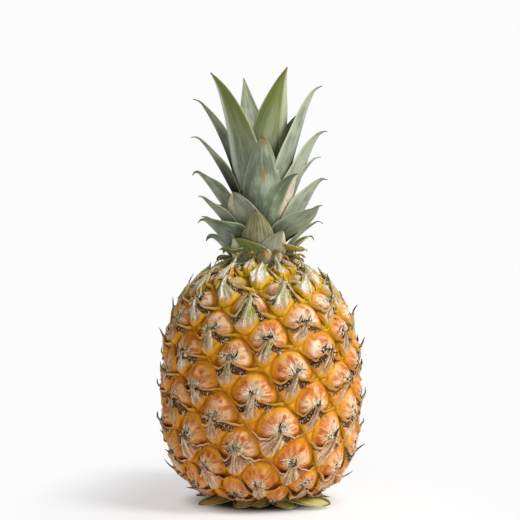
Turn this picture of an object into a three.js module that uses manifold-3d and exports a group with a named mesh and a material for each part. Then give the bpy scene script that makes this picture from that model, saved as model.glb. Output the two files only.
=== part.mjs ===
// A fresh pineapple with its crown, standing on its cut stem. Millimetres, +Z up.
// The origin is the centre of the stem's cut face, and the front of the fruit faces -Y.
//
// Three pieces grow on one axis:
//   fruit  fused fruitlets, the eyes, each with its bract and its spine, set in a golden-angle spiral
//   crown  the leafy shoot on top: a short stem and its leaves
//   stem   the cut fruit stalk, with the leafy bracts that lie flat under the fruit
import * as THREE from "three";
import { mergeVertices } from "three/addons/utils/BufferGeometryUtils.js";
import Module from "manifold-3d";

const wasm = await Module();
wasm.setup();

// Driving dimensions.
const goldenAngle = 137.508; // degrees from one eye, or one leaf, to the next, counter-clockwise from above
const gap = 0.3; // clearance between two pieces that touch

// The fruit's skin at the bottom of the grooves is two half superellipses turned about Z.
const skin = { radius: 54.6, wideZ: 69, bottomZ: 4.2, topZ: 135, bottomPower: 3.2, topPower: 2.42 };

// Eyes are counted both ways from the one that faces the front. An eye's area falls off towards both ends.
const eyes = {
  frontTurn: -93.6,
  frontZ: 64.2,
  area: 463, // mm2, at the height areaZ
  areaZ: 70,
  fallLinear: 0.17,
  fallSquare: 0.56,
  rightStep: 8, // the next eye up and to the right, and the next one up and to the left, count this many on
  leftStep: 13,
  bareTop: 5, // eyes next to each pole that stay flat, and how many it takes to reach the full relief
  bareBottom: 6,
  fade: 7,
};

const stemSize = { cutRadius: 13, topRadius: 15, height: 7.2, seatRadius: 17 };
const crownSize = {
  seatZ: 131.5,
  seatRadius: 17.5,
  footRadius: 16,
  stemTopZ: 188,
  leaves: 60,
  firstTurn: 67.7,
};

// ---- small helpers ----

const radians = THREE.MathUtils.degToRad;
const smooth = (low, high, x) => THREE.MathUtils.smoothstep(x, low, high);

// A closed mesh of points [x, y, z] and faces of corner numbers, counter-clockwise from outside, as a solid.
function solidOf(points, faces) {
  return new wasm.Manifold(
    new wasm.Mesh({
      numProp: 3,
      vertProperties: new Float32Array(points.flat()),
      triVerts: new Uint32Array(faces.flat()),
    }),
  );
}

// A three.js geometry that closes on itself, as a solid.
function solidOfGeometry(geometry) {
  geometry.deleteAttribute("normal");
  geometry.deleteAttribute("uv");
  const merged = mergeVertices(geometry, 1e-3);
  return new wasm.Manifold(
    new wasm.Mesh({
      numProp: 3,
      vertProperties: merged.attributes.position.array,
      triVerts: new Uint32Array(merged.index.array),
    }),
  );
}

// A profile of [radius, z] points from the axis and back to it, bottom first, turned about Z.
function turned(profile, sides) {
  const points = profile.map(([r, z]) => new THREE.Vector2(r, z));
  return solidOfGeometry(new THREE.LatheGeometry(points, sides).rotateX(Math.PI / 2));
}

// Joins solids into one body and drops what the fusing seals inside or leaves loose.
function fused(solids) {
  const parts = wasm.Manifold.union(solids).decompose();
  return parts.reduce((best, part) => (part.volume() > best.volume() ? part : best));
}

// Two rings of the same number of corners, as the band of faces between them.
function band(lower, upper, count) {
  const faces = [];
  for (let i = 0; i < count; i++) {
    const j = (i + 1) % count;
    faces.push([lower + i, lower + j, upper + j], [lower + i, upper + j, upper + i]);
  }
  return faces;
}

// ---- the fruit ----

function eyeArea(z) {
  const u = (z - eyes.areaZ) / eyes.areaZ;
  return eyes.area * (1 - eyes.fallLinear * u - eyes.fallSquare * u * u);
}

// The skin's meridian from the bottom pole to the top one. Each row counts the eyes below it.
const meridian = (() => {
  const steps = 720;
  const rows = [];
  for (let i = 0; i <= steps; i++) {
    const angle = -Math.PI / 2 + (Math.PI * i) / steps;
    const upper = angle > 0;
    const power = 2 / (upper ? skin.topPower : skin.bottomPower);
    const reach = upper ? skin.topZ - skin.wideZ : skin.wideZ - skin.bottomZ;
    const r = i % steps === 0 ? 0 : skin.radius * Math.cos(angle) ** power;
    const z = skin.wideZ + Math.sign(angle) * reach * Math.abs(Math.sin(angle)) ** power;
    const last = rows[i - 1];
    const ring = last ? Math.PI * (r + last.r) * Math.hypot(r - last.r, z - last.z) : 0;
    rows.push({ r, z, count: last ? last.count + ring / eyeArea(z) : 0 });
  }
  return rows;
})();
const eyesBelowFront = meridian.find((row) => row.z >= eyes.frontZ).count;
const eyesInAll = meridian.at(-1).count;

// The skin at an eye's number, whole or not: its radius, height and outward normal in the radial plane.
function skinAt(number) {
  const count = THREE.MathUtils.clamp(number + eyesBelowFront, 0, eyesInAll);
  const i = Math.max(meridian.findIndex((row) => row.count >= count), 1);
  const a = meridian[i - 1];
  const b = meridian[i];
  const t = (count - a.count) / (b.count - a.count);
  const length = Math.hypot(b.r - a.r, b.z - a.z);
  return {
    r: THREE.MathUtils.lerp(a.r, b.r, t),
    z: THREE.MathUtils.lerp(a.z, b.z, t),
    outR: (b.z - a.z) / length,
    outZ: -(b.r - a.r) / length,
  };
}

// The least turn, in degrees, that stepping on by so many eyes makes.
const turnOf = (step) => step * goldenAngle - 360 * Math.round((step * goldenAngle) / 360);

// A point of eye n in its lozenge, whose corners are at a = -1 and 1, left and right, and b = -1 and 1,
// down and up, raised by h mm.
function eyePoint(n, a, b, h) {
  const right = (a + b) / 2;
  const left = (b - a) / 2;
  const number = n + right * eyes.rightStep + left * eyes.leftStep;
  const here = skinAt(number);
  const count = number + eyesBelowFront;
  const relief = smooth(eyes.bareBottom, eyes.bareBottom + eyes.fade, count) *
    smooth(eyes.bareTop, eyes.bareTop + eyes.fade, eyesInAll - count);
  const turn = radians(
    eyes.frontTurn + goldenAngle * n + right * turnOf(eyes.rightStep) + left * turnOf(eyes.leftStep),
  );
  const r = here.r === 0 ? 0 : here.r + h * relief * here.outR;
  return [r * Math.cos(turn), r * Math.sin(turn), here.z + (here.r === 0 ? 0 : h * relief * here.outZ)];
}

// An eye's relief: where each inner corner of its net goes, and how high. The corners are a sixth of the
// lozenge apart, and the key gives a corner's place as sixths up and sixths to the side. Above is the
// fruitlet's cap. Below is the bract: its free edge dips on both sides of a rib, which ends in the spine.
const net = 6;
const eyeForm = {
  "4,0": { a: 0, b: 0.7, h: 2.5 },
  "3,1": { a: 0.3, b: 0.5, h: 2.9 },
  "2,0": { a: 0, b: 0.46, h: 3.2 },
  "2,2": { a: 0.52, b: 0.27, h: 2.7 },
  "1,1": { a: 0.17, b: 0.16, h: 2.9 },
  "1,3": { a: 0.64, b: -0.02, h: 2.1 },
  "0,0": { a: 0, b: 0.4, h: 6 },
  "0,2": { a: 0.28, b: -0.1, h: 4.1 },
  "0,4": { a: 0.6, b: -0.2, h: 3.1 },
  "-1,1": { a: 0.13, b: -0.2, h: 4.2 },
  "-1,3": { a: 0.48, b: -0.38, h: 1.4 },
  "-2,0": { a: 0, b: -0.42, h: 3.9 },
  "-2,2": { a: 0.28, b: -0.5, h: 1.4 },
  "-3,1": { a: 0.15, b: -0.68, h: 1.7 },
  "-4,0": { a: 0, b: -0.82, h: 0.9 },
};

// The corner of the net i sixths to the upper right and j sixths to the upper left of eye n's lowest corner.
function netPoint(n, i, j) {
  const up = i + j - net;
  const aside = i - j;
  const form = eyeForm[`${up},${Math.abs(aside)}`];
  if (!form) return eyePoint(n, aside / net, up / net, 0);
  return eyePoint(n, Math.sign(aside) * form.a, form.b, form.h);
}

// The whole skin as one closed net. The eyes' lozenges share their edges, and past a pole they shrink to it.
function skinSolid() {
  const points = [eyePoint(0, 0, 0, 0)];
  const numbers = new Map();
  const reach = eyes.rightStep + eyes.leftStep;
  const lowest = Math.floor(-eyesBelowFront) - reach;
  const highest = Math.ceil(eyesInAll - eyesBelowFront) + reach;
  const cornerNumber = (n, i, j) => {
    if (i === net) return cornerNumber(n + eyes.rightStep, 0, j);
    if (j === net) return cornerNumber(n + eyes.leftStep, i, 0);
    const point = netPoint(n, i, j);
    const key = point[0] === 0 && point[1] === 0 ? `pole ${point[2]}` : `${n} ${i} ${j}`;
    if (!numbers.has(key)) numbers.set(key, points.push(point) - 1);
    return numbers.get(key);
  };
  const faces = [];
  for (let n = lowest; n <= highest; n++) {
    for (let i = 0; i < net; i++) {
      for (let j = 0; j < net; j++) {
        const low = cornerNumber(n, i, j);
        const right = cornerNumber(n, i + 1, j);
        const high = cornerNumber(n, i + 1, j + 1);
        const left = cornerNumber(n, i, j + 1);
        faces.push([low, right, left], [right, high, left]);
      }
    }
  }
  return solidOf(points, faces.filter(([p, q, r]) => p !== q && q !== r && r !== p));
}

function fruitSolid() {
  const seat = (radius, low, high) => turned([[0, low], [radius, low], [radius, high], [0, high]], 32);
  const stemSeat = seat(stemSize.seatRadius, -20, stemSize.height + gap);
  const crownSeat = seat(crownSize.seatRadius, crownSize.seatZ - gap, 160);
  return fused([skinSolid()]).subtract(stemSeat).subtract(crownSeat);
}

// ---- leaves ----

// A leaf's middle line runs in the radial plane of its turn, as a curve of four [radius, z] points.
function leafLine({ foot, tip, riseAngle, fallAngle, startShare, endShare }) {
  const from = new THREE.Vector2(...foot);
  const to = new THREE.Vector2(...tip);
  const span = from.distanceTo(to);
  const first = new THREE.Vector2(Math.cos(radians(riseAngle)), Math.sin(radians(riseAngle)));
  const last = new THREE.Vector2(Math.cos(radians(fallAngle)), Math.sin(radians(fallAngle)));
  return new THREE.CubicBezierCurve(
    from,
    from.clone().addScaledVector(first, span * startShare),
    to.clone().addScaledVector(last, -span * endShare),
    to,
  );
}

// The leaf's cross-section, from edge to edge along its back and over the channel's middle.
const section = [[-1, 1], [-0.5, 0.25], [0, 0], [0.5, 0.25], [1, 1]];

// A channelled blade with a keel, from its broad foot to its point.
function leaf(shape) {
  const line = leafLine(shape);
  const turn = radians(shape.turn);
  const points = [];
  const count = section.length + 1;
  for (const t of shape.stations) {
    const at = line.getPoint(t);
    const along = line.getTangent(t);
    const half = (shape.width / 2) * shape.outline(t);
    const depth = half * shape.channel;
    const thick = THREE.MathUtils.lerp(shape.thick, 0.9, t);
    const place = (across, inward) => {
      const r = at.x - along.y * inward;
      const z = at.y + along.x * inward;
      return [r * Math.cos(turn) - across * Math.sin(turn), r * Math.sin(turn) + across * Math.cos(turn), z];
    };
    for (const [e, d] of section) points.push(place(e * half, d * depth));
    points.push(place(0, thick));
  }
  const end = line.getPoint(1);
  const tip = points.push([end.x * Math.cos(turn), end.x * Math.sin(turn), end.y - shape.hook]) - 1;
  const faces = [];
  for (let s = 0; s < shape.stations.length - 1; s++) faces.push(...band(s * count, (s + 1) * count, count));
  const last = (shape.stations.length - 1) * count;
  for (let i = 0; i < count; i++) faces.push([last + i, last + ((i + 1) % count), tip]);
  for (let i = 1; i < count - 1; i++) faces.push([0, i + 1, i]);
  return solidOf(points, faces);
}

// ---- the crown ----

// Leaves whose tips stand apart from the rule, by their number from the bottom: turn, radius and height.
const crownTips = {
  6: [172.7, 25.6, 138.8],
  7: [-58, 19.5, 139.6],
  10: [2.7, 24.5, 137.4],
  12: [-78, 22.5, 142.5],
  14: [-167, 25, 143],
  15: [-29.7, 29.7, 142.2],
  17: [-134, 23, 148.4],
  18: [22.8, 34.2, 152.3],
  19: [160.3, 34.5, 151.7],
  20: [-57, 23, 152.5],
  23: [-9.7, 36.1, 159.2],
  25: [-97, 25, 163.5],
  26: [42.9, 33, 161],
  27: [-179.6, 36.8, 160.6],
  28: [-36, 42.3, 165.9],
  30: [-132, 25.7, 174.7],
  31: [10.4, 28.5, 171],
  32: [147.9, 33, 172],
  35: [-159.6, 38.6, 172.9],
  36: [-22, 40.7, 181.7],
  37: [115.4, 33, 184],
  39: [30.5, 33, 187],
  40: [168, 41.7, 190.5],
  41: [-49, 31, 184.5],
  44: [-2, 35.1, 197.5],
  45: [135.5, 24, 203],
  46: [-87, 27, 204.2],
  47: [50.5, 27, 209],
  48: [-172, 41.3, 209],
  49: [-28, 42.5, 209.2],
  51: [-137, 39, 241.2],
  52: [18, 27, 228],
  53: [163, 43.2, 236.1],
  54: [-55, 26.1, 246],
  55: [70.6, 18, 228],
  56: [-152, 22, 228],
  57: [-20, 38, 237.3],
  58: [117, 23.7, 252],
  59: [-99, 10, 208],
};
const missingLeaves = [33, 38, 43];

// Leaf number k of the crown: low ones are short, narrow and hook down, high ones are long and upright.
function crownLeaf(k) {
  const u = (k + 0.5) / crownSize.leaves;
  const footZ = 132 + 43 * u ** 1.4;
  const tipRadius = 21 + 19.5 * smooth(0, 0.42, u) - 14 * smooth(0.85, 1, u);
  const rule = [crownSize.firstTurn + goldenAngle * k, tipRadius, 136 + 116 * u ** 1.6];
  const [turn, ...tip] = crownTips[k] ?? rule;
  return leaf({
    turn,
    foot: [crownStemRadius(footZ) - 2.5, footZ],
    tip,
    riseAngle: 45 + 38 * smooth(0, 0.5, u),
    fallAngle: -10 + 42 * smooth(0, 0.3, u) + 15 * smooth(0.35, 0.75, u) + 30 * smooth(0.84, 0.97, u),
    startShare: 0.45,
    endShare: 0.14 + 0.1 * smooth(0.8, 1, u),
    width: 8 + 12 * smooth(0, 0.34, u),
    channel: 0.4,
    thick: 2,
    hook: 3 * (1 - u),
    stations: u < 0.3 ? [0, 0.45, 0.8] : [0, 0.3, 0.55, 0.75, 0.9],
    outline: (t) => (0.82 + 0.9 * t * (1 - t)) * (1 - t ** 2.2) ** 0.9,
  });
}

function crownStemRadius(z) {
  const t = THREE.MathUtils.clamp((z - crownSize.seatZ) / (crownSize.stemTopZ - crownSize.seatZ), 0, 1);
  return crownSize.footRadius * (1 - t) ** 0.8 + 1.5;
}

function crownSolid() {
  const rows = 7;
  const profile = [[0, crownSize.seatZ], [crownSize.footRadius, crownSize.seatZ]];
  for (let i = 0; i <= rows; i++) {
    const z = THREE.MathUtils.lerp(crownSize.seatZ + 2, crownSize.stemTopZ, i / rows);
    profile.push([crownStemRadius(z) - (i === 0 ? 1 : 0), z]);
  }
  profile.push([0, crownSize.stemTopZ + 1]);
  const numbers = [...Array(crownSize.leaves).keys()].filter((k) => !missingLeaves.includes(k));
  return fused([turned(profile, 18), ...numbers.map(crownLeaf)]);
}

// ---- the stem ----

// The bracts under the fruit: turn, reach and width of each.
const baseLeaves = [
  [-38, 46, 18],
  [-143, 42, 14],
  [-110, 35, 12],
  [-92, 31, 12],
  [-64, 36, 14],
  [-4, 38, 15],
  [34, 36, 14],
  [79, 35, 14],
  [124, 37, 15],
  [171, 38, 14],
];

function baseLeaf([turn, reach, width]) {
  return leaf({
    turn,
    foot: [10, 3],
    tip: [reach, 1.3],
    riseAngle: -14,
    fallAngle: 8,
    startShare: 0.4,
    endShare: 0.3,
    width,
    channel: 0.12,
    thick: 1.6,
    hook: 0,
    stations: [0, 0.4, 0.75, 0.94],
    outline: (t) => (0.7 + 0.5 * t) * (1 - t ** 5) ** 0.6,
  });
}

function stemSolid() {
  const { cutRadius, topRadius, height } = stemSize;
  const profile = [
    [0, 0],
    [cutRadius - 0.8, 0],
    [cutRadius, 0.8],
    [topRadius, height - 1],
    [topRadius, height],
    [0, height],
  ];
  return fused([turned(profile, 28), ...baseLeaves.map(baseLeaf)]);
}

// ---- the model ----

function meshOf(name, solid, look) {
  const { vertProperties, triVerts } = solid.getMesh();
  const geometry = new THREE.BufferGeometry();
  geometry.setAttribute("position", new THREE.BufferAttribute(new Float32Array(vertProperties), 3));
  geometry.setIndex(new THREE.BufferAttribute(new Uint32Array(triVerts), 1));
  geometry.computeVertexNormals();
  const mesh = new THREE.Mesh(geometry, new THREE.MeshStandardMaterial({ metalness: 0, ...look }));
  mesh.name = name;
  return mesh;
}

const pineapple = new THREE.Group();
pineapple.add(
  meshOf("fruit", fruitSolid(), { color: 0xd98a2b, roughness: 0.5 }),
  meshOf("crown", crownSolid(), { color: 0x7f8f68, roughness: 0.6 }),
  meshOf("stem", stemSolid(), { color: 0x97934f, roughness: 0.7 }),
);

export default pineapple;
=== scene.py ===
# A fresh pineapple, dressed over its frame. Shapes are worked out in millimetres and made in metres.
import math
from types import SimpleNamespace

import bpy
import numpy as np
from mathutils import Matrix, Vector


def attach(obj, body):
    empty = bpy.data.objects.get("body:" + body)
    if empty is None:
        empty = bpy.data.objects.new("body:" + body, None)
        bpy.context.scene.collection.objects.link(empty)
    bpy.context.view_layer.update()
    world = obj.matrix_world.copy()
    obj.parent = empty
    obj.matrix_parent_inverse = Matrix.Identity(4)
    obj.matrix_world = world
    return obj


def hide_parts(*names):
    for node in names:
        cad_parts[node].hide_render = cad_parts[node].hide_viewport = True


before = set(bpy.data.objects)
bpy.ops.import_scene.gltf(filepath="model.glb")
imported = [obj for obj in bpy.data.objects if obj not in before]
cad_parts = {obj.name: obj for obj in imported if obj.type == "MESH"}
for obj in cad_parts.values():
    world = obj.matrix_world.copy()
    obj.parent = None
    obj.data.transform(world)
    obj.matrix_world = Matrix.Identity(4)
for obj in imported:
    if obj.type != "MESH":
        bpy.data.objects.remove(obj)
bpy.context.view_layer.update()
mm = 0.001
anyPhase = 6.3  # about a full turn in radians: times luck, it starts a wave anywhere


# Sums and meshes that every piece uses.

def smoothStep(low, high, x):
    t = np.clip((np.asarray(x, float) - low) / (high - low), 0, 1)
    return t * t * (3 - 2 * t)


def bell(x, width=1.0):
    return np.exp(-((x / width) ** 2))


def mixed(first, second, share):
    return first + (second - first) * share


def ripples(points, size, seed, waves=9):  # a smooth unevenness in space, about -1 to 1
    rng = np.random.default_rng(seed)
    ways = rng.normal(size=(waves, 3))
    ways *= (2 * np.pi / (size * rng.uniform(0.6, 1.6, waves)) / np.linalg.norm(ways, axis=1))[:, None]
    starts = rng.uniform(0, 2 * np.pi, waves)
    return np.sin(points @ ways.T + starts).sum(-1) / math.sqrt(waves)


def makePiece(name, points, faces, finish, onPoints=None, onCorners=None):
    mesh = bpy.data.meshes.new(name)
    mesh.from_pydata((np.asarray(points) * mm).tolist(), [], [list(map(int, face)) for face in faces])
    for domain, layers in (("POINT", onPoints), ("CORNER", onCorners)):
        for key, values in (layers or {}).items():
            layer = mesh.attributes.new(key, "FLOAT_VECTOR", domain)
            layer.data.foreach_set("vector", np.asarray(values, np.float32).ravel())
    mesh.polygons.foreach_set("use_smooth", [True] * len(mesh.polygons))
    mesh.materials.append(finish)
    piece = bpy.data.objects.new(name, mesh)
    bpy.context.scene.collection.objects.link(piece)
    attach(piece, "root")
    print(name, len(mesh.polygons), "faces")
    return piece


class Heap:  # many small closed shells that become one mesh
    def __init__(self):
        self.points, self.faces, self.layers, self.count = [], [], {}, 0

    def add(self, points, faces, **layers):
        self.points.append(points)
        self.faces.extend((np.asarray(face) + self.count).tolist() for face in faces)
        for key, values in layers.items():
            values = np.broadcast_to(np.asarray(values, float), (len(points), 3))
            self.layers.setdefault(key, []).append(values)
        self.count += len(points)

    def make(self, name, finish):
        layers = {key: np.concatenate(values) for key, values in self.layers.items()}
        return makePiece(name, np.concatenate(self.points), self.faces, finish, layers)


def tubeFaces(rings, sides):  # rings of points from foot to end, closed with a face at both
    faces = []
    for k in range(rings - 1):
        for i in range(sides):
            j = (i + 1) % sides
            faces.append([k * sides + i, k * sides + j, (k + 1) * sides + j, (k + 1) * sides + i])
    faces.append(list(range(sides))[::-1])
    faces.append([(rings - 1) * sides + i for i in range(sides)])
    return faces


# Shader maths: wires are added and multiplied as numbers are.

def paint(red, green, blue):  # a screen colour, 0 to 255, as the linear colour that nodes take
    steps = [value / 255 for value in (red, green, blue)]
    return (*[s / 12.92 if s <= 0.04045 else ((s + 0.055) / 1.055) ** 2.4 for s in steps], 1.0)


def paints(colours):  # named screen colours, ready for the nodes
    return SimpleNamespace(**{name: paint(*parts) for name, parts in colours.items()})


class Wire:  # an output socket that takes part in sums
    def __init__(self, home, socket):
        self.home = home
        self.socket = socket

    def math(self, operation, *others):
        return self.home.node("ShaderNodeMath", {"operation": operation}, dict(enumerate((self, *others))))

    def turned(self, operation, other):  # the same sum with the other one first
        return self.home.node("ShaderNodeMath", {"operation": operation}, {0: other, 1: self})

    def __add__(self, other):
        return self.math("ADD", other)

    __radd__ = __add__

    def __mul__(self, other):
        return self.math("MULTIPLY", other)

    __rmul__ = __mul__

    def __sub__(self, other):
        return self.math("SUBTRACT", other)

    def __rsub__(self, other):
        return self.turned("SUBTRACT", other)

    def __pow__(self, other):
        return self.math("POWER", other)

    def __rpow__(self, other):
        return self.turned("POWER", other)

    def __neg__(self):
        return self * -1

    def __abs__(self):
        return self.math("ABSOLUTE")

    def smooth(self, low, high):
        settings = {"interpolation_type": "SMOOTHSTEP", "clamp": True}
        return self.home.node("ShaderNodeMapRange", settings, {0: self, 1: low, 2: high, 3: 0.0, 4: 1.0})

    def hump(self, centre, width):  # 1 at the centre, 0 a width away on both sides
        return 1 - abs(self - centre).smooth(0, width)

    def limited(self):
        return self.math("MAXIMUM", 0.0).math("MINIMUM", 1.0)

    def parts(self):
        split = self.home.node("ShaderNodeSeparateXYZ", {}, {0: self})
        return [Wire(self.home, output) for output in split.socket.node.outputs]


class Nodes:  # a tree of nodes, and the one way to add to it
    def __init__(self, tree):
        self.tree = tree

    def feed(self, socket, value):
        if isinstance(value, Wire):
            self.tree.links.new(value.socket, socket)
        else:
            socket.default_value = value

    def node(self, kind, settings=None, sockets=None, output=0):
        made = self.tree.nodes.new(kind)
        for key, value in (settings or {}).items():
            setattr(made, key, value)
        for key, value in (sockets or {}).items():
            self.feed(made.inputs[key], value)
        return Wire(self, made.outputs[output] if made.outputs else None)


class Finish(Nodes):  # one material, and the tree of nodes that colours it
    def __init__(self, name, **fixed):
        self.material = bpy.data.materials.new(name)
        self.material.use_nodes = True
        super().__init__(self.material.node_tree)
        self.shader = self.tree.nodes["Principled BSDF"]
        self.place = self.node("ShaderNodeTexCoord", output="Object")
        self.set(**fixed)

    def set(self, **sockets):  # the shader's sockets, with _ for a space
        for key, value in sockets.items():
            self.feed(self.shader.inputs[key.replace("_", " ")], value)

    def layer(self, name):
        return self.node("ShaderNodeAttribute", {"attribute_name": name}, output="Vector").parts()

    def noise(self, size, detail=2.0, vector=None):  # a size in mm, or along a vector of its own a scale
        sockets = {"Vector": vector or self.place, "Scale": 1 / (size * mm) if vector is None else size,
                   "Detail": detail, "Roughness": 0.55}
        return self.node("ShaderNodeTexNoise", {}, sockets, "Fac")

    def vector(self, x, y, z):
        return self.node("ShaderNodeCombineXYZ", {}, {0: x, 1: y, 2: z})

    def blend(self, share, first, second):
        settings = {"data_type": "RGBA", "clamp_factor": True}
        return self.node("ShaderNodeMix", settings, {0: share, 6: first, 7: second}, 2)

    def bump(self, height, distance, strength=1.0, before=None):
        sockets = {"Height": height, "Distance": distance * mm, "Strength": strength}
        if before:
            sockets["Normal"] = before
        return self.node("ShaderNodeBump", {}, sockets)

    def done(self, **sockets):
        self.set(**sockets)
        return self.material


# The fruit's skin: its eyes stand in a golden-angle spiral. Lengths are in mm, angles in degrees.

skin = {
    "radius": 54.6, "wideZ": 69, "bottomZ": 4.2, "topZ": 135, "bottomPower": 3.2, "topPower": 2.42,
    "golden": 137.508, "frontTurn": -93.6, "frontZ": 64.2,
    "eyeArea": 463, "areaZ": 70, "fallLinear": 0.17, "fallSquare": 0.56,
    "right": 8, "left": 13,  # steps to the next eye up and to the right, and up and to the left
    "bareBottom": 5, "bareTop": 2.5, "fadeBottom": 7, "fadeTop": 4,
    "bow": 0.02,  # how far an eye's upper edges bulge, and its lower ones give way
    "cornerJitter": 0.022, "centreJitter": 0.03, "seed": 41, "rows": 721,
    "topFrom": 0.77, "topTo": 0.9,  # where the greener eyes of the top start, and where all are of them
}

# Eyes that stand off the spiral, as shares of an eye: to the right, and up.
eyeShifts = {
    -39: (-0.15, 0.05), -34: (-0.15, -0.3), -31: (-0.15, 0), -29: (-0.15, 0), -26: (-0.1, -0.1),
    -21: (-0.08, -0.05), -18: (-0.1, 0.12), -16: (0.1, -0.18), -13: (0.08, -0.05), -10: (0, 0.14),
    -5: (0, 0.09), -3: (0.14, 0.26), 0: (-0.03, -0.1), 3: (0.16, 0.22), 5: (0, -0.18), 18: (0.12, -0.1),
    26: (0.08, 0), 29: (0.1, 0), 34: (0.05, 0.25), 37: (0.2, 0), 39: (-0.1, -0.18), 42: (0.12, 0.3),
    47: (-0.3, 0), 50: (0.25, 0.22), 55: (0, 0.28), 63: (0.1, -0.2),
}


def skinRows():
    angle = np.linspace(-np.pi / 2, np.pi / 2, skin["rows"])
    upper = angle > 0
    power = 2 / np.where(upper, skin["topPower"], skin["bottomPower"])
    reach = np.where(upper, skin["topZ"] - skin["wideZ"], skin["wideZ"] - skin["bottomZ"])
    r = skin["radius"] * np.clip(np.cos(angle), 0, 1) ** power
    r[0] = r[-1] = 0
    z = skin["wideZ"] + np.sign(angle) * reach * np.abs(np.sin(angle)) ** power
    u = (z[1:] - skin["areaZ"]) / skin["areaZ"]
    area = skin["eyeArea"] * (1 - skin["fallLinear"] * u - skin["fallSquare"] * u * u)
    rings = np.pi * (r[1:] + r[:-1]) * np.hypot(np.diff(r), np.diff(z)) / area
    count = np.concatenate([[0], np.cumsum(rings)])
    slopeR, slopeZ = np.gradient(r), np.gradient(z)
    length = np.hypot(slopeR, slopeZ)
    return {"r": r, "z": z, "count": count, "outR": slopeZ / length, "outZ": -slopeR / length}


rows = skinRows()
eyesBelowFront = rows["count"][np.argmax(rows["z"] >= skin["frontZ"])]
eyesInAll = rows["count"][-1]
around = skin["right"] + skin["left"]
lowestEye = math.floor(-eyesBelowFront) - around
highestEye = math.ceil(eyesInAll - eyesBelowFront) + around
eyeNumbers = np.arange(lowestEye, highestEye + 1)

luck = np.random.default_rng(skin["seed"])
tableFrom = lowestEye - around
tableSize = highestEye + 2 * around - tableFrom + 1
centreShifts = luck.normal(0, skin["centreJitter"], (tableSize, 2))
for number, (aside, up) in eyeShifts.items():
    centreShifts[number - tableFrom] = ((aside + up) / 2, (up - aside) / 2)
cornerShifts = luck.normal(0, skin["cornerJitter"], (tableSize, 2))
for step in (0, skin["right"], skin["left"], around):
    cornerShifts += np.roll(centreShifts, step, axis=0) / 4
eyeLuck = luck.uniform(0, 1, (tableSize, 6))


def turnOf(step):  # the least turn that so many steps of the spiral make
    return step * skin["golden"] - 360 * round(step * skin["golden"] / 360)


def onSkin(n, right, left, height):
    number = n + right * skin["right"] + left * skin["left"]
    count = np.clip(number + eyesBelowFront, 0, eyesInAll)
    low, top = skin["bareBottom"], skin["bareTop"]
    relief = smoothStep(low, low + skin["fadeBottom"], count)
    relief = relief * smoothStep(top, top + skin["fadeTop"], eyesInAll - count)
    turn = skin["frontTurn"] + skin["golden"] * n
    turn = np.radians(turn + right * turnOf(skin["right"]) + left * turnOf(skin["left"]))
    at = {key: np.interp(count, rows["count"], rows[key]) for key in ("r", "z", "outR", "outZ")}
    r = at["r"] + height * relief * at["outR"]
    z = at["z"] + height * relief * at["outZ"]
    return np.stack([r * np.cos(turn), r * np.sin(turn), z], -1)


def cellShift(n, u, v):  # how far eye n's skin is moved at the shares u and v of its cell
    k = n - tableFrom
    low, right = cornerShifts[k], cornerShifts[k + skin["right"]]
    left, high = cornerShifts[k + skin["left"]], cornerShifts[k + around]
    u, v = u[..., None], v[..., None]
    even = low * (1 - u) * (1 - v) + right * u * (1 - v) + left * (1 - u) * v + high * u * v
    spare = centreShifts[k] - (low + right + left + high) / 4
    return even + spare * 16 * u * (1 - u) * v * (1 - v)


def bowed(u, v):  # a cell's shares as a and b, 1 at its right and its top corner, with the edges bowed
    right = u - 0.5 + 4 * skin["bow"] * v * (1 - v)
    left = v - 0.5 + 4 * skin["bow"] * u * (1 - u)
    return right - left, right + left


def unbowed(a, b):
    right, left = (a + b) / 2, (b - a) / 2
    u, v = right + 0.5, left + 0.5
    for _ in range(12):
        u, v = right + 0.5 - 4 * skin["bow"] * v * (1 - v), left + 0.5 - 4 * skin["bow"] * u * (1 - u)
    return u, v


def onEye(n, a, b, height):
    shift = cellShift(n, *unbowed(a, b))
    return onSkin(n, (a + b) / 2 + shift[..., 0], (b - a) / 2 + shift[..., 1], height)


def eyeRise(n):  # an eye's height on the fruit, 0 at the bottom and 1 at the top
    return (n + eyesBelowFront) / eyesInAll


# The spiral leans an eye's cell over. An eye itself stands upright, so its parts are laid out by
# p, to the right, and q, up, in half widths and half heights of the cell.
leanP = (turnOf(skin["right"]) + turnOf(skin["left"])) / (turnOf(skin["right"]) - turnOf(skin["left"]))
leanQ = (skin["right"] - skin["left"]) / around


def upright(a, b):
    return a + leanP * b, b + leanQ * a


def leaning(p, q):
    size = 1 - leanP * leanQ
    return (p - leanP * q) / size, (q - leanQ * p) / size


def atEye(n, p, q, height):
    return onEye(n, *leaning(p, q), height)


def topness(n):
    return smoothStep(skin["topFrom"], skin["topTo"], eyeRise(n))


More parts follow.
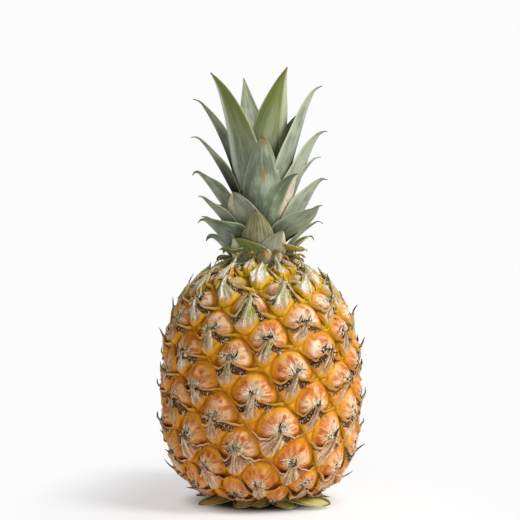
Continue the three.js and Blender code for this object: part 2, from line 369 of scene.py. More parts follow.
# What each eye is like, 0 to 1: a pale cap, a green bract, a dry one, a wide pleated rib, dark marks on
# the cap, and dark pits left and right of the rib. The others get theirs from their height and luck.
eyeLooks = {
    63: (0.7, 1, 0, 0.8, 0.1, 0, 0), 55: (0.6, 1, 0, 1, 0.3, 0, 0.1), 50: (0.9, 0.9, 0, 0.8, 0.5, 0, 0.5),
    47: (0.6, 0.9, 0, 0.9, 0.4, 0, 0.6), 42: (1, 0.7, 0, 0.6, 0.3, 0.4, 0.5),
    39: (0.5, 0.3, 0.1, 0.7, 1, 0.3, 0.9), 37: (1, 0.2, 0.1, 0.2, 0.6, 0.1, 0.8),
    34: (0.8, 1, 0, 0.6, 0.4, 0.5, 1), 29: (1, 0.3, 0, 0.3, 0.6, 0.3, 0.5),
    26: (0.8, 0.6, 0, 0.3, 0.8, 0.2, 0.9), 24: (0.9, 0.3, 0, 0.2, 0.5, 0, 0.4),
    21: (0.7, 0.8, 0, 0.2, 0.7, 0.3, 0.8), 18: (0.5, 0.3, 0, 0.5, 1, 1, 1),
    16: (0.6, 0.2, 0.1, 0.1, 0.6, 0.8, 0.5), 13: (0.7, 0.8, 0, 0.2, 0.9, 0.4, 1),
    8: (0.6, 0, 0, 0.1, 0.4, 0.6, 0.9), 5: (0.4, 0, 0.3, 0.2, 0.6, 0.5, 1),
    3: (0.6, 0, 0.3, 0.1, 0.6, 0.3, 0.5), 0: (0.5, 0, 0, 0.15, 0.2, 0.6, 1),
    -3: (0.3, 0.2, 0.2, 0.2, 0.5, 0.3, 0.9), -5: (0.6, 0, 0.1, 0.1, 0.2, 1, 0.7),
    -8: (0.3, 0, 0.4, 0.1, 0.8, 0.2, 0.9), -10: (0.6, 0, 0.5, 0.1, 0.5, 0.4, 0.4),
    -13: (0.5, 0, 0.8, 0.3, 0.3, 0.1, 0.4), -16: (0.4, 0.1, 0.6, 0.2, 0.8, 0.2, 0.3),
    -18: (0.5, 0.1, 0.8, 0.2, 0.5, 0.1, 0.3), -21: (0.6, 0, 0.8, 0.3, 0.4, 0.9, 0.3),
    -26: (0.3, 0, 0.8, 0.2, 0.5, 0.1, 0.2), -29: (0.3, 0, 0.8, 0.3, 0.4, 0.1, 0.1),
    -31: (0.6, 0, 0.8, 0.2, 0.2, 0.1, 0.3), -34: (0.4, 0, 0.8, 0.3, 0.2, 0, 0),
    -39: (0.3, 0, 0.8, 0.2, 0.4, 0, 0),
}


def looksTable():
    rise = eyeRise(np.arange(tableSize) + tableFrom)
    lot = luck.uniform(0, 1, (7, tableSize))
    middle = smoothStep(0.05, 0.3, rise) * (1 - smoothStep(0.7, 0.85, rise))
    table = np.stack([
        mixed(0.3, 0.8, smoothStep(0.3, 0.8, rise)) + 0.3 * (lot[0] - 0.5),
        smoothStep(0.25, 0.75, rise) * mixed(0.3, 1, lot[1]),
        (1 - smoothStep(0.12, 0.4, rise)) * mixed(0.6, 1, lot[2]) + 0.15 * lot[2],
        mixed(0.1, 0.8, smoothStep(0.68, 0.9, rise)) + 0.15 * lot[3],
        mixed(0.2, 0.9, lot[4]),
        middle * mixed(0.2, 0.9, lot[5]),
        middle * mixed(0.4, 1, lot[6]),
    ], -1)
    for number, values in eyeLooks.items():
        table[number - tableFrom] = values
    return np.clip(table, 0, 1)


looks = looksTable()
lookNames = ("pale", "green", "dry", "fan", "marks", "pitLeft", "pitRight")


def look(n, name):
    return looks[n - tableFrom, lookNames.index(name)]


# Where each eye's middle is, its dried flower, in p and q.
eyeStars = {
    63: (-0.04, 0.5), 55: (0.04, 0.55), 50: (0.22, 0.35), 47: (-0.15, 0.4), 42: (0.1, 0.35),
    39: (-0.25, 0.25), 37: (0.18, 0.17), 34: (0, 0.27), 29: (0.04, -0.12), 26: (-0.13, -0.14),
    21: (0.03, -0.01), 18: (-0.1, -0.15), 16: (0.25, -0.1), 13: (-0.12, -0.08), 8: (0.08, -0.05),
    5: (-0.12, -0.18), 3: (0.2, -0.12), 0: (0, 0.06), -3: (-0.25, -0.2), -5: (0.08, -0.16),
    -8: (-0.17, -0.22), -10: (0.15, -0.08), -13: (0, -0.08), -16: (-0.2, 0.08), -18: (0.15, -0.1),
    -21: (-0.08, 0), -26: (-0.12, -0.03), -29: (-0.05, 0), -31: (0.08, 0.05), -34: (0, 0.02),
    -39: (-0.05, 0.08),
}


def starsTable():
    rise = eyeRise(np.arange(tableSize) + tableFrom)
    lot = luck.uniform(-1, 1, (2, tableSize))
    table = np.stack([0.1 * lot[0], mixed(-0.08, 0.45, smoothStep(0.62, 0.82, rise)) + 0.07 * lot[1]], -1)
    for number, place in eyeStars.items():
        table[number - tableFrom] = place
    return table


stars = starsTable()


def star(n):
    place = stars[n - tableFrom]
    return place[..., 0], place[..., 1]


# The fruitlets' caps, as one closed skin.
rindShape = {
    "net": 24, "cap": 3.0, "topCap": 1.9, "capLuck": 0.5,  # the grid in each eye, and the caps' heights
    "middleP": 0.04, "halfWidth": 0.63, "middleQ": -0.1, "topReach": 0.8, "lowReach": 0.38,
    "shoulder": (0.66, 1.1), "flatShare": 0.55,  # where a cap falls off, and how much of it is flat
    "stray": 0.06, "widths": (0.94, 1.06), "tops": (0.94, 1.04),  # how far the caps differ from eye to eye
    "hollow": 0.8, "hollowWidth": 0.16, "starOval": 1.15,
    "crease": 0.17, "creaseFrom": (0.05, 0.18), "creaseTo": (0.35, 0.75),
    "lumps": 0.12, "lumpSize": 9, "seed": 7,
}


def capShare(n, p, q):  # 0 at the middle of a cap and 1 at its rim
    s = rindShape
    lot = eyeLuck[n - tableFrom]
    aside = p - s["middleP"] - s["stray"] * (lot[..., 0] - 0.5)
    aside = aside / (s["halfWidth"] * mixed(*s["widths"], lot[..., 1]))
    up = q - s["middleQ"]
    up = up / np.where(up > 0, s["topReach"] * mixed(*s["tops"], lot[..., 2]), s["lowReach"])
    return np.clip(aside ** 2 + up ** 2, 0, None)


def capHeight(n, p, q):
    s = rindShape
    lot = eyeLuck[n - tableFrom]
    share = capShare(n, p, q)
    reach = np.sqrt(share)
    dome = mixed(np.clip(1 - share, 0, 1), 1 - smoothStep(*s["shoulder"], reach), s["flatShare"])
    starP, starQ = star(n)
    aside = (p - starP) * s["starOval"]
    far = np.hypot(aside, q - starQ)
    way = np.arctan2(aside, q - starQ)
    cap = mixed(s["cap"] + s["capLuck"] * (lot[..., 3] - 0.5), s["topCap"], topness(n))
    folds = np.sin(5 * way + anyPhase * lot[..., 1]) + np.sin(9 * way + anyPhase * lot[..., 2])
    folds = folds + 0.6 * np.sin(16 * way + anyPhase * lot[..., 3])
    inside = dome * smoothStep(*s["creaseFrom"], far) * (1 - smoothStep(*s["creaseTo"], far))
    return cap * dome - s["hollow"] * bell(far, s["hollowWidth"]) + s["crease"] * folds * inside


def makeRind(finish):
    net = rindShape["net"]
    share = np.arange(net) / net
    n = np.arange(lowestEye, highestEye + around + 1)[:, None, None]
    u = np.broadcast_to(share[None, :, None], (len(n), net, net))
    v = np.broadcast_to(share[None, None, :], (len(n), net, net))
    a, b = bowed(u, v)
    shift = cellShift(n, u, v)
    right, left = (a + b) / 2 + shift[..., 0], (b - a) / 2 + shift[..., 1]
    height = capHeight(n, *upright(a, b))
    rough = ripples(onSkin(n, right, left, height).reshape(-1, 3), rindShape["lumpSize"], rindShape["seed"])
    height = height * (1 + rindShape["lumps"] * rough.reshape(height.shape))
    points = onSkin(n, right, left, height).reshape(-1, 3)

    m, i, j = np.meshgrid(np.arange(len(eyeNumbers)), np.arange(net), np.arange(net), indexing="ij")

    def cornerNumber(m, i, j):
        m = m + skin["right"] * (i == net) + skin["left"] * (j == net)
        return (m * net + i % net) * net + j % net

    corners = [(i, j), (i + 1, j), (i + 1, j + 1), (i, j + 1)]
    faces = np.stack([cornerNumber(m, i2, j2) for i2, j2 in corners], -1).reshape(-1, 4)
    cu = np.stack([i2 / net for i2, j2 in corners], -1)
    cv = np.stack([j2 / net for i2, j2 in corners], -1)
    p, q = upright(*bowed(cu, cv))
    rim = capShare(eyeNumbers[m][..., None], p, q)
    place = np.stack([p, q, rim], -1).reshape(-1, 4, 3)
    k = eyeNumbers[m.reshape(-1)]
    chance = np.stack([eyeLuck[k - tableFrom, 4], eyeLuck[k - tableFrom, 5], eyeRise(k)], -1)
    chance = np.repeat(chance[:, None, :], 4, axis=1)
    character = np.stack([look(k, name) for name in ("pale", "green", "marks")], -1)
    character = np.repeat(character[:, None, :], 4, axis=1)
    middle = np.stack([*star(k), np.zeros(len(k))], -1)
    middle = np.repeat(middle[:, None, :], 4, axis=1)

    poles = np.hypot(points[:, 0], points[:, 1]) < 1e-6  # every point there becomes one
    for side in (points[:, 2] < skin["wideZ"], points[:, 2] >= skin["wideZ"]):
        same = np.flatnonzero(poles & side)
        swap = np.arange(len(points))
        swap[same] = same[0]
        faces = swap[faces]
    keep, layers = [], {"eyePlace": [], "eyeChance": [], "eyeLook": [], "eyeStar": []}
    for face, where, lot, own, eye in zip(faces.tolist(), place, chance, character, middle):
        kept = [c for c in range(4) if face[c] != face[c - 1]]
        if len(set(face)) < 3:
            continue
        keep.append([face[c] for c in kept])
        layers["eyePlace"].append(where[kept])
        layers["eyeChance"].append(lot[kept])
        layers["eyeLook"].append(own[kept])
        layers["eyeStar"].append(eye[kept])
    used = np.unique(np.concatenate([np.array(face) for face in keep]))
    renumber = np.zeros(len(points), int)
    renumber[used] = np.arange(len(used))
    keep = [[renumber[c] for c in face] for face in keep]
    layers = {key: np.concatenate(values) for key, values in layers.items()}
    return makePiece("rind", points[used], keep, finish, onCorners=layers)


rindColours = {
    "gold": (232, 160, 18), "goldDeep": (204, 128, 8), "goldRipe": (244, 190, 52),
    "goldPale": (232, 182, 52), "goldLime": (214, 196, 30), "rimDeep": (226, 130, 14),
    "rim": (244, 172, 44), "rimTop": (240, 150, 52), "orange": (234, 144, 44),
    "orangeDeep": (220, 116, 32), "orangeLow": (228, 148, 34), "patch": (164, 70, 8),
    "cheekDeep": (230, 146, 70), "cheek": (252, 222, 178), "cheekRipe": (252, 236, 214),
    "pink": (200, 96, 44), "salmon": (184, 68, 18), "hairLight": (252, 238, 210),
    "hairDark": (124, 48, 18), "starDeep": (216, 184, 128), "star": (252, 242, 216),
    "spot": (190, 72, 12), "crack": (28, 16, 12), "scar": (92, 44, 32), "chalkDeep": (236, 176, 110),
    "chalk": (252, 236, 204), "lime": (172, 170, 34), "groove": (140, 72, 0), "gritDark": (84, 38, 4),
    "under": (124, 50, 4), "gritLight": (250, 228, 190),
}


def litSide(f, cloud):  # 1 on the right, where the key light falls: painted light, yellower and lighter there
    x = f.place.parts()[0]
    return (x + (cloud - 0.5) * 0.03).smooth(-0.03, 0.05)


def goldSkin(f, c, cloud, litShare, rise, flecks=None):  # between the caps: painted light, yellower and lighter on the lit side, and greener higher up
    gold = f.blend(cloud.smooth(0.35, 0.65), c.gold, c.goldDeep)
    gold = f.blend(litShare * 0.6, gold, c.goldRipe)
    if flecks:
        gold = f.blend(flecks, gold, c.goldPale)
    return f.blend(rise.smooth(0.5, 0.85) * cloud.smooth(0.32, 0.52) * 0.7, gold, c.goldLime)


def rindFinish():
    c = paints(rindColours)
    f = Finish("rindFlesh", Specular_IOR_Level=0.13)
    p, q, rim = f.layer("eyePlace")
    luckA, luckB, rise = f.layer("eyeChance")
    paleness, greenness, marked = f.layer("eyeLook")
    starP, starQ, _ = f.layer("eyeStar")
    cloud = f.noise(9, 3)
    fine = f.noise(2.2, 4)
    grit = f.noise(0.8, 2)
    up = q - starQ
    aside = p - starP
    far = (aside ** 2 + up * up) ** 0.5
    way = aside.math("ARCTAN2", up)
    streaks = f.noise(1, 4, f.vector(way * 3.4 + luckA * 50, far * 2 + luckB * 30, fine * 0.9))
    threads = f.noise(1, 3, f.vector(way * 8 + luckB * 50, far * 2.4 + luckA * 30, fine * 0.8))
    loose = far + (fine - 0.5) * 0.14 + (streaks - 0.5) * 0.6

    litShare = litSide(f, cloud)
    gold = goldSkin(f, c, cloud, litShare, rise, fine.smooth(0.48, 0.75) * 0.5)
    ring = rim + (fine - 0.5) * 0.1 + (cloud - 0.5) * 0.3 + (streaks - 0.5) * 0.45
    rimColour = f.blend(cloud.smooth(0.35, 0.65), c.rimDeep, c.rim)
    rimColour = f.blend(rise.smooth(0.6, 0.85) * 0.7, rimColour, c.rimTop)
    orange = f.blend(luckA, c.orange, c.orangeDeep)
    low = 1 - rise.smooth(0.12, 0.36)
    orange = f.blend(low * 0.5, orange, c.orangeLow)
    patches = ring.hump(0.62, 0.3) * (1 - streaks).smooth(0.42, 0.6) * (1 - rise.smooth(0.6, 0.8) * 0.8)
    orange = f.blend(patches * 0.5, orange, c.patch)
    flesh = f.blend(ring.smooth(0.5, 0.85), orange, rimColour)
    mottle = 0.5 + (streaks - 0.5) * 1.3 + (cloud - 0.5) * 0.7 + (fine - 0.5) * 0.3
    lopsided = (p * (luckA - 0.35) * 7 + 0.65 + (cloud - 0.5)).limited()
    cheekShare = (1 - (ring - paleness * 0.25).smooth(0.3, 0.9)) * (0.45 + paleness * 0.55)
    cheekShare = cheekShare * (0.6 + mottle.smooth(0.36, 0.54) * 0.4) * (0.5 + lopsided * 0.5)
    cheekShare = cheekShare * (1 - low * 0.4)
    cheek = f.blend(mottle.smooth(0.28, 0.62), c.cheekDeep, c.cheek)
    flesh = f.blend(cheekShare, flesh, cheek)
    # painted light: paler cheeks on the lit right side
    flesh = f.blend(litShare * cheekShare * mottle.smooth(0.4, 0.6) * 0.5, flesh, c.cheekRipe)
    pink = (1 - mottle).smooth(0.36, 0.66) * cheekShare
    flesh = f.blend(pink * 0.3, flesh, c.pink)
    salmon = (1 - streaks).smooth(0.46, 0.6) * loose.smooth(0.16, 0.3) * (1 - ring.smooth(0.6, 0.9))
    flesh = f.blend(salmon * 0.26, flesh, c.salmon)
    hairs = threads.smooth(0.54, 0.64) * (1 - (far + (streaks - 0.5) * 0.8).smooth(0.2, 0.55))
    flesh = f.blend(hairs * (0.3 + paleness * 0.4), flesh, c.hairLight)
    hairs = (1 - threads).smooth(0.56, 0.66) * (1 - (far - (streaks - 0.5) * 0.8).smooth(0.2, 0.6))
    flesh = f.blend(hairs * (0.25 + marked * 0.35), flesh, c.hairDark)
    star = 1 - (loose - paleness * 0.08).smooth(0.12, 0.28)
    starColour = f.blend(threads.smooth(0.4, 0.56), c.starDeep, c.star)
    flesh = f.blend(star * (1 - low * 0.35), flesh, starColour)
    spot = 1 - ((p - 0.15) ** 2 + (q - 0.34 - luckA * 0.1) ** 2 + (fine - 0.5) * 0.012).smooth(0.001, 0.01)
    flesh = f.blend(spot * luckB.smooth(0.2, 0.5) * 0.8, flesh, c.spot)
    lines = 1 - abs(threads - 0.5).smooth(0.004, 0.028)
    cracks = lines * fine.smooth(0.42, 0.48) * (1 - loose.smooth(0.25, 0.55)) * loose.smooth(0.02, 0.1)
    flesh = f.blend(cracks * marked.smooth(0, 0.5), flesh, c.crack)
    scars = f.noise(3.4, 2).smooth(0.6, 0.66) * (1 - loose.smooth(0.2, 0.5)) * marked.smooth(0.4, 1)
    flesh = f.blend(scars * 0.8, flesh, c.scar)
    topped = rise.smooth(0.7, 0.82)
    chalk = f.blend(mottle.smooth(0.3, 0.6), c.chalkDeep, c.chalk)
    chalkShare = rise.smooth(0.6, 0.76) * (0.6 + cloud.smooth(0.4, 0.6) * 0.35) * (1 - rim.smooth(0.6, 0.9))
    flesh = f.blend(chalkShare, flesh, chalk)
    lime = greenness * topped * (rim.smooth(0.2, 0.8) + 0.3) * (cloud + (fine - 0.5) * 0.3).smooth(0.34, 0.5)
    flesh = f.blend(lime.limited() * 0.85, flesh, c.lime)
    # painted shade: a darker band in the groove round each cap
    groove = (rim + (cloud - 0.5) * 0.4).hump(1.3, 0.42)
    gold = f.blend(groove * 0.65, gold, c.groove)
    inCap = 1 - (rim + (fine - 0.5) * 0.1).smooth(0.92, 1.25)
    colour = f.blend(inCap, gold, flesh)
    colour = f.blend((1 - grit).smooth(0.58, 0.66) * (0.2 + star.limited() * 0.5), colour, c.gritDark)
    # painted shade: the cap's lower part, under the bract's free edge, is darker
    under = (starQ - q + (fine - 0.5) * 0.2).smooth(0.15, 0.5) * inCap
    colour = f.blend(under * 0.6, colour, c.under)
    # painted glints: small white highlight specks on the inner cap
    glints = grit.smooth(0.6, 0.68) * inCap * (1 - rim.smooth(0.5, 1)) * 0.15
    colour = f.blend(glints, colour, c.gritLight)
    rough = 0.24 + (1 - inCap) * 0.06 + fine * 0.16
    height = threads * 0.5 * (1 - far.smooth(0.35, 0.6)) + fine * 0.7 + streaks * 0.8 + cloud
    normal = f.bump(height, 0.6, 0.9)
    normal = f.bump(grit, 0.16, 0.8, normal)
    return f.done(Base_Color=colour, Roughness=rough, Normal=normal)


# The bracts: one under each eye, from the groove up to a free edge, with a rib that ends in the spine.
bractShape = {
    "across": 41, "up": 17, "crowd": 1.15, "reach": 0.93, "thick": 0.6,
    "edge": ([-1, -0.81, -0.6, -0.43, -0.3, -0.18, -0.09, 0.08, 0.15, 0.4, 0.7, 0.9, 1],
             [0.16, -0.05, -0.26, -0.38, -0.34, -0.22, -0.14, -0.14, -0.2, -0.3, -0.34, -0.31, -0.28]),
    "low": ([-1, -0.9, -0.8, -0.7, -0.6, -0.53, -0.46, -0.35, -0.19,
             0, 0.08, 0.14, 0.2, 0.3, 0.4, 0.6, 0.8, 1],
            [0.06, -0.04, -0.14, -0.25, -0.39, -0.55, -0.78, -1.0, -1.12,
             -1.08, -1.0, -0.92, -0.82, -0.7, -0.6, -0.5, -0.45, -0.42]),
    "tipDrop": 0.04, "tipWidth": 0.16, "fanTipWidth": 0.72, "rowCrowd": 0.85,
    "lip": 1.9, "topLip": 0.55, "lipWidth": 1.9, "cord": 0.7, "cordWidth": 0.85,
    "pit": 0.5, "pitLift": 1.2, "swell": 1.5, "swellFrom": 2.2, "swellTo": 6, "sink": 0.4, "overCap": 0.35,
    "edgeLuck": 0.12, "waves": (0.02, 9), "tears": (0.03, 23),  # of the free edge: heights and counts
    "leastTall": 0.06, "tongue": 1.2, "tongueLuck": (0.85, 1.15),
    "sides": (0.5, 0.93), "sideFlat": 0.85,  # where the edge stops standing out, and how much less it does
    "rib": ([-1.1, -0.9, -0.6, -0.3, -0.1, 0.14, 0.5], [0.6, 2.2, 3.2, 3.9, 4.3, 4.8, 5.2]),
    "ribWidth": ([-1.0, -0.6, -0.3, 0.1], [0.24, 0.2, 0.14, 0.1]), "ribFoot": -0.17,
    "ribFanned": 2, "ribDry": 1.8, "pleatSpread": (0.3, 0.6), "lipWave": (0.4, 6),
    "fanPoint": 0.45,  # how far over its tip a bract's pleats would meet
    "pleats": (22, 39), "pleatHeight": (0.14, 0.2, 0.2),  # on any, on a fanned and on a dry one
    "bands": {"bractsLow": range(-56, 8), "bractsHigh": range(8, 72)},  # the eyes of each piece
}
dressedEyes = range(-56, 72)  # those that have bracts, spines and flowers
halfHeight = 13.6  # mm, of a cell, to turn q into a length


def bractGrid(n):
    s = bractShape
    lot = eyeLuck[n - tableFrom]
    starP, starQ = star(n)
    tip = starQ - s["tipDrop"]
    across = np.linspace(-1, 1, s["across"])
    p = (np.sign(across) * np.abs(across) ** s["crowd"])[:, None] * s["reach"]
    t = np.linspace(0, 1, s["up"])[None, :] ** s["rowCrowd"]
    edge = np.interp(p, *s["edge"])
    edge = edge + s["edgeLuck"] * (mixed(lot[0], lot[1], p > 0) - 0.5) * bell(p, 0.7)
    high, count = s["waves"]
    edge = edge + high * np.sin(count * p + anyPhase * lot[4])
    high, count = s["tears"]
    edge = edge + high * look(n, "dry") * np.sin(count * p + anyPhase * lot[5])
    width = mixed(s["tipWidth"], s["fanTipWidth"], look(n, "fan")) * mixed(*s["tongueLuck"], lot[2])
    tongue = (1 - smoothStep(0, width, np.abs(p - starP))) ** s["tongue"]
    edge = mixed(edge, np.maximum(tip, edge), tongue)
    low = np.interp(p, *s["low"])
    edge = np.maximum(edge, low + s["leastTall"])
    q = low + (edge - low) * t
    p = np.broadcast_to(p, q.shape)
    below = (edge - q) * halfHeight
    above = (q - low) * halfHeight
    side = 1 - s["sideFlat"] * smoothStep(*s["sides"], np.abs(p))
    pit = s["pit"] + s["pitLift"] * (1 - np.where(p < 0, look(n, "pitLeft"), look(n, "pitRight")))
    height = pit + s["swell"] * smoothStep(s["swellFrom"], s["swellTo"], below)
    height = height * smoothStep(-0.3, 1.8, above)
    height = height + s["lip"] * mixed(1, s["topLip"], topness(n)) * side * bell(below, s["lipWidth"])
    height = height - s["sink"] * (1 - smoothStep(0, 0.9, above))
    height = height + s["cord"] * side * bell(below, s["cordWidth"])
    ribWidth = np.interp(q, *s["ribWidth"])
    ribWidth = ribWidth * mixed(1, s["ribFanned"], look(n, "fan")) * mixed(1, s["ribDry"], look(n, "dry"))
    down = smoothStep(0, 0.9, tip - q)
    aside = p - mixed(starP, s["ribFoot"], down)
    rib = bell(aside, ribWidth)
    height = height + np.clip(np.interp(q, *s["rib"]) - height, 0, None) * rib
    way = np.arctan2(aside, tip + s["fanPoint"] - q)
    coarse, close = s["pleats"]
    pleats = np.sin(coarse * way + anyPhase * lot[3]) + 0.7 * np.sin(close * way + anyPhase * lot[4])
    plain, fanned, dry = s["pleatHeight"]
    pleated = plain + fanned * look(n, "fan") + dry * look(n, "dry")
    spread = mixed(*s["pleatSpread"], np.maximum(look(n, "fan"), look(n, "dry")))
    height = height + pleated * pleats * bell(aside, spread) * smoothStep(0.3, 2, above)
    high, count = s["lipWave"]
    height = height + high * np.sin(count * p + anyPhase * lot[5]) * bell(below, 2) * side
    height = np.maximum(height, (capHeight(n, p, q) + s["overCap"]) * smoothStep(0, 1, above))
    return p, q, below, above, height, aside, tip - q


def shellFaces(nu, nv):  # a grid and its underside, sewn along the border
    def at(i, j, under):
        return (i * nv + j) + under * nu * nv
    faces = []
    for i in range(nu - 1):
        for j in range(nv - 1):
            faces.append([at(i, j, 0), at(i + 1, j, 0), at(i + 1, j + 1, 0), at(i, j + 1, 0)])
            faces.append([at(i, j, 1), at(i, j + 1, 1), at(i + 1, j + 1, 1), at(i + 1, j, 1)])
    rim = [(i, 0) for i in range(nu)] + [(nu - 1, j) for j in range(1, nv)]
    rim += [(i, nv - 1) for i in range(nu - 2, -1, -1)] + [(0, j) for j in range(nv - 2, 0, -1)]
    for here, after in zip(rim, rim[1:] + rim[:1]):
        faces.append([at(*after, 0), at(*here, 0), at(*here, 1), at(*after, 1)])
    return faces


def bothFaces(first, second, third):  # a layer's values, for a grid and again for its underside
    values = np.stack([first, second, np.full_like(first, third)], -1).reshape(-1, 3)
    return np.tile(values, (2, 1))


def makeBracts(name, eyes, finish):
    heap = Heap()
    s = bractShape
    faces = shellFaces(s["across"], s["up"])
    for n in eyes:
        p, q, below, above, height, aside, drop = bractGrid(n)
        top = atEye(n, p, q, height)
        base = atEye(n, p, q, height - s["thick"])
        points = np.concatenate([top.reshape(-1, 3), base.reshape(-1, 3)])
        heap.add(points, faces, bractPlace=bothFaces(p, q, eyeLuck[n - tableFrom, 4]),
                 bractEnds=bothFaces(below, above, look(n, "dry")), bractRib=bothFaces(aside, drop, 0),
                 bractLook=(look(n, "green"), look(n, "fan"), eyeRise(n)),
                 bractPits=(look(n, "pitLeft"), look(n, "pitRight"), 0))
    return heap.make(name, finish)


bractColours = {
    "gold": (232, 160, 20), "goldDeep": (204, 128, 10), "goldRipe": (244, 190, 56),
    "goldLime": (214, 196, 34), "fleshDeep": (194, 104, 18), "flesh": (222, 150, 58),
    "gloss": (234, 196, 158), "paperDeep": (184, 118, 66), "paper": (240, 208, 158),
    "paperPink": (210, 146, 112), "rib": (236, 214, 182), "ribFanned": (252, 248, 230),
    "ribDeep": (138, 106, 66), "ribFold": (184, 152, 122), "ribThread": (84, 58, 42),
    "greenDeep": (112, 120, 18), "green": (172, 178, 74), "greenTop": (206, 204, 88), "pit": (24, 12, 8),
    "pitWarm": (100, 44, 16), "crumb": (232, 216, 196), "cord": (232, 182, 90),
    "cordDeep": (208, 146, 50), "cordDry": (236, 190, 150), "cordLime": (218, 204, 92),
    "cordTop": (250, 236, 190), "line": (70, 32, 8), "speckDark": (84, 42, 10),
    "speckLight": (250, 232, 196),
}


def bractFinish():
    c = paints(bractColours)
    f = Finish("bractSkin", Specular_IOR_Level=0.13)
    p, q, lot = f.layer("bractPlace")
    below, above, dryness = f.layer("bractEnds")
    greenness, fanned, rise = f.layer("bractLook")
    left, right, _ = f.layer("bractPits")
    ribAside, drop, _ = f.layer("bractRib")
    ribSide = abs(ribAside)
    cloud = f.noise(7, 3)
    fine = f.noise(1.8, 3)
    grit = f.noise(0.7, 3)
    way = ribAside.math("ARCTAN2", drop + bractShape["fanPoint"])
    threads = f.noise(1, 3, f.vector(way * 13 + lot * 40, q * 1.6, lot * 30 + fine * 0.5))
    folds = f.noise(1, 2, f.vector(way * 5 + lot * 70, q * 0.8, lot * 30 + fine * 0.3))

    gold = goldSkin(f, c, cloud, litSide(f, cloud), rise)
    flesh = f.blend(fine.smooth(0.3, 0.65), c.fleshDeep, c.flesh)
    # painted highlight: a pale sheen on the bract's body below the rib
    gloss = below.hump(8, 4) * ribSide.hump(0.08, 0.3) * folds.smooth(0.4, 0.55)
    flesh = f.blend(gloss * 0.9, flesh, c.gloss)
    flesh = f.blend((above + (fine - 0.5) * 3).smooth(0.6, 3), gold, flesh)
    flank = below.smooth(0.5, 4) * ribSide.smooth(0.25, 0.5)
    flesh = f.blend(flank * 0.7, flesh, gold)
    topped = rise.smooth(0.74, 0.86)
    papery = f.blend(threads.smooth(0.36, 0.64), c.paperDeep, c.paper)
    papery = f.blend(folds.smooth(0.5, 0.62) * 0.5, papery, c.paperPink)
    driedOut = (dryness * 1.5 + (cloud - 0.5)).smooth(0.45, 1)
    flesh = f.blend(driedOut * (above + (fine - 0.5) * 2).smooth(0.3, 2), flesh, papery)
    fanWidth = 0.07 + drop * (0.12 + fanned * 0.46) + (folds - 0.5) * 0.4 + (fine - 0.5) * 0.12
    fan = (1 - (ribSide - fanWidth).smooth(-0.04, 0.14)) * (above + (threads - 0.5) * 8).smooth(1, 6)
    white = (fanned * 0.75 + (threads - 0.5) * 2.4 + (cloud - 0.5)).smooth(-0.2, 0.75)
    ribPale = f.blend(fanned, c.rib, c.ribFanned)
    ribColour = f.blend(white, c.ribDeep, ribPale)
    ribColour = f.blend(folds.smooth(0.5, 0.6) * 0.45, ribColour, c.ribFold)
    ribColour = f.blend(dryness * 0.7, ribColour, papery)
    ribColour = f.blend((1 - abs(threads - 0.46).smooth(0.004, 0.02)) * 0.6, ribColour, c.ribThread)
    flesh = f.blend(fan * 0.95, flesh, ribColour)
    greenShare = greenness * (1 - (ribSide - 0.16 - fanned * 0.4).smooth(0.06, 0.26))
    greenShare = greenShare * (q - topped * 0.35 + (folds - 0.5)).smooth(-0.8, -0.25)
    shoulders = fanned.smooth(0.2, 0.7) * ribSide.smooth(0.06, 0.16)
    greenShare = greenShare * (folds.smooth(0.42, 0.54) * (1 - fanned * 0.7) + shoulders).limited()
    green = f.blend(threads, c.greenDeep, f.blend(topped, c.green, c.greenTop))
    flesh = f.blend(greenShare * 0.9, flesh, green)
    aside = left * ribAside.smooth(0.02, -0.06) + right * ribAside.smooth(-0.02, 0.06)
    pit = aside * below.smooth(0.6, 1.4) * (1 - (below + (cloud - 0.5) * 5).smooth(3.2, 5.6))
    pit = pit * ribSide.smooth(0.05, 0.16) * (1 - (abs(p) + (fine - 0.5) * 0.4).smooth(0.4, 0.66))
    dark = (pit * 2.2 + (grit - 0.5) * 1.4 + (cloud - 0.5)).smooth(0.4, 0.8)
    pitColour = f.blend((fine + ribAside * 0.2).smooth(0.42, 0.62), c.pit, c.pitWarm)
    flesh = f.blend(dark * 0.92, flesh, pitColour)
    crumbs = f.node("ShaderNodeTexVoronoi", {}, {"Vector": f.place, "Scale": 1 / (1.3 * mm)}, "Distance")
    crumbs = 1 - (crumbs + (fine - 0.5) * 0.7).smooth(0.16, 0.26)
    flesh = f.blend(pit.smooth(0.1, 0.3) * crumbs * 0.9, flesh, c.crumb)
    cord = 1 - (below + (fine - 0.5) * 0.4).smooth(0.5, 1.3)
    cord = cord * (1 - abs(p).smooth(0.6, 0.9))
    cordColour = f.blend(cloud.smooth(0.35, 0.65), c.cord, c.cordDeep)
    cordColour = f.blend(dryness.smooth(0.2, 0.7), cordColour, c.cordDry)
    topCord = f.blend(folds.smooth(0.4, 0.6), c.cordLime, c.cordTop)
    cordColour = f.blend(rise.smooth(0.6, 0.78) * 0.8, cordColour, topCord)
    flesh = f.blend(cord * (1 - fan * 0.5) * (0.5 + cloud.smooth(0.4, 0.6) * 0.45), flesh, cordColour)
    # painted shadow: a dark line just under the bract's raised edge and cord
    line = below.hump(1.6, 0.9) * (1 - abs(p).smooth(0.7, 0.9)) * (1 - fan)
    flesh = f.blend(line * 0.85, flesh, c.line)
    specks = (fan + pit).limited() * 0.45 + 0.1
    flesh = f.blend((1 - grit).smooth(0.54, 0.64) * specks, flesh, c.speckDark)
    flesh = f.blend(grit.smooth(0.58, 0.68) * specks, flesh, c.speckLight)
    rough = 0.36 + dark * 0.3 + fan * 0.12 + dryness * 0.12
    normal = f.bump(threads * (fan + dryness).limited() * 0.8 + folds * 0.8 + fine * 0.5, 0.55, 0.9)
    normal = f.bump(grit * (0.4 + pit), 0.45, 0.9, normal)
    return f.done(Base_Color=flesh, Roughness=rough, Normal=normal)


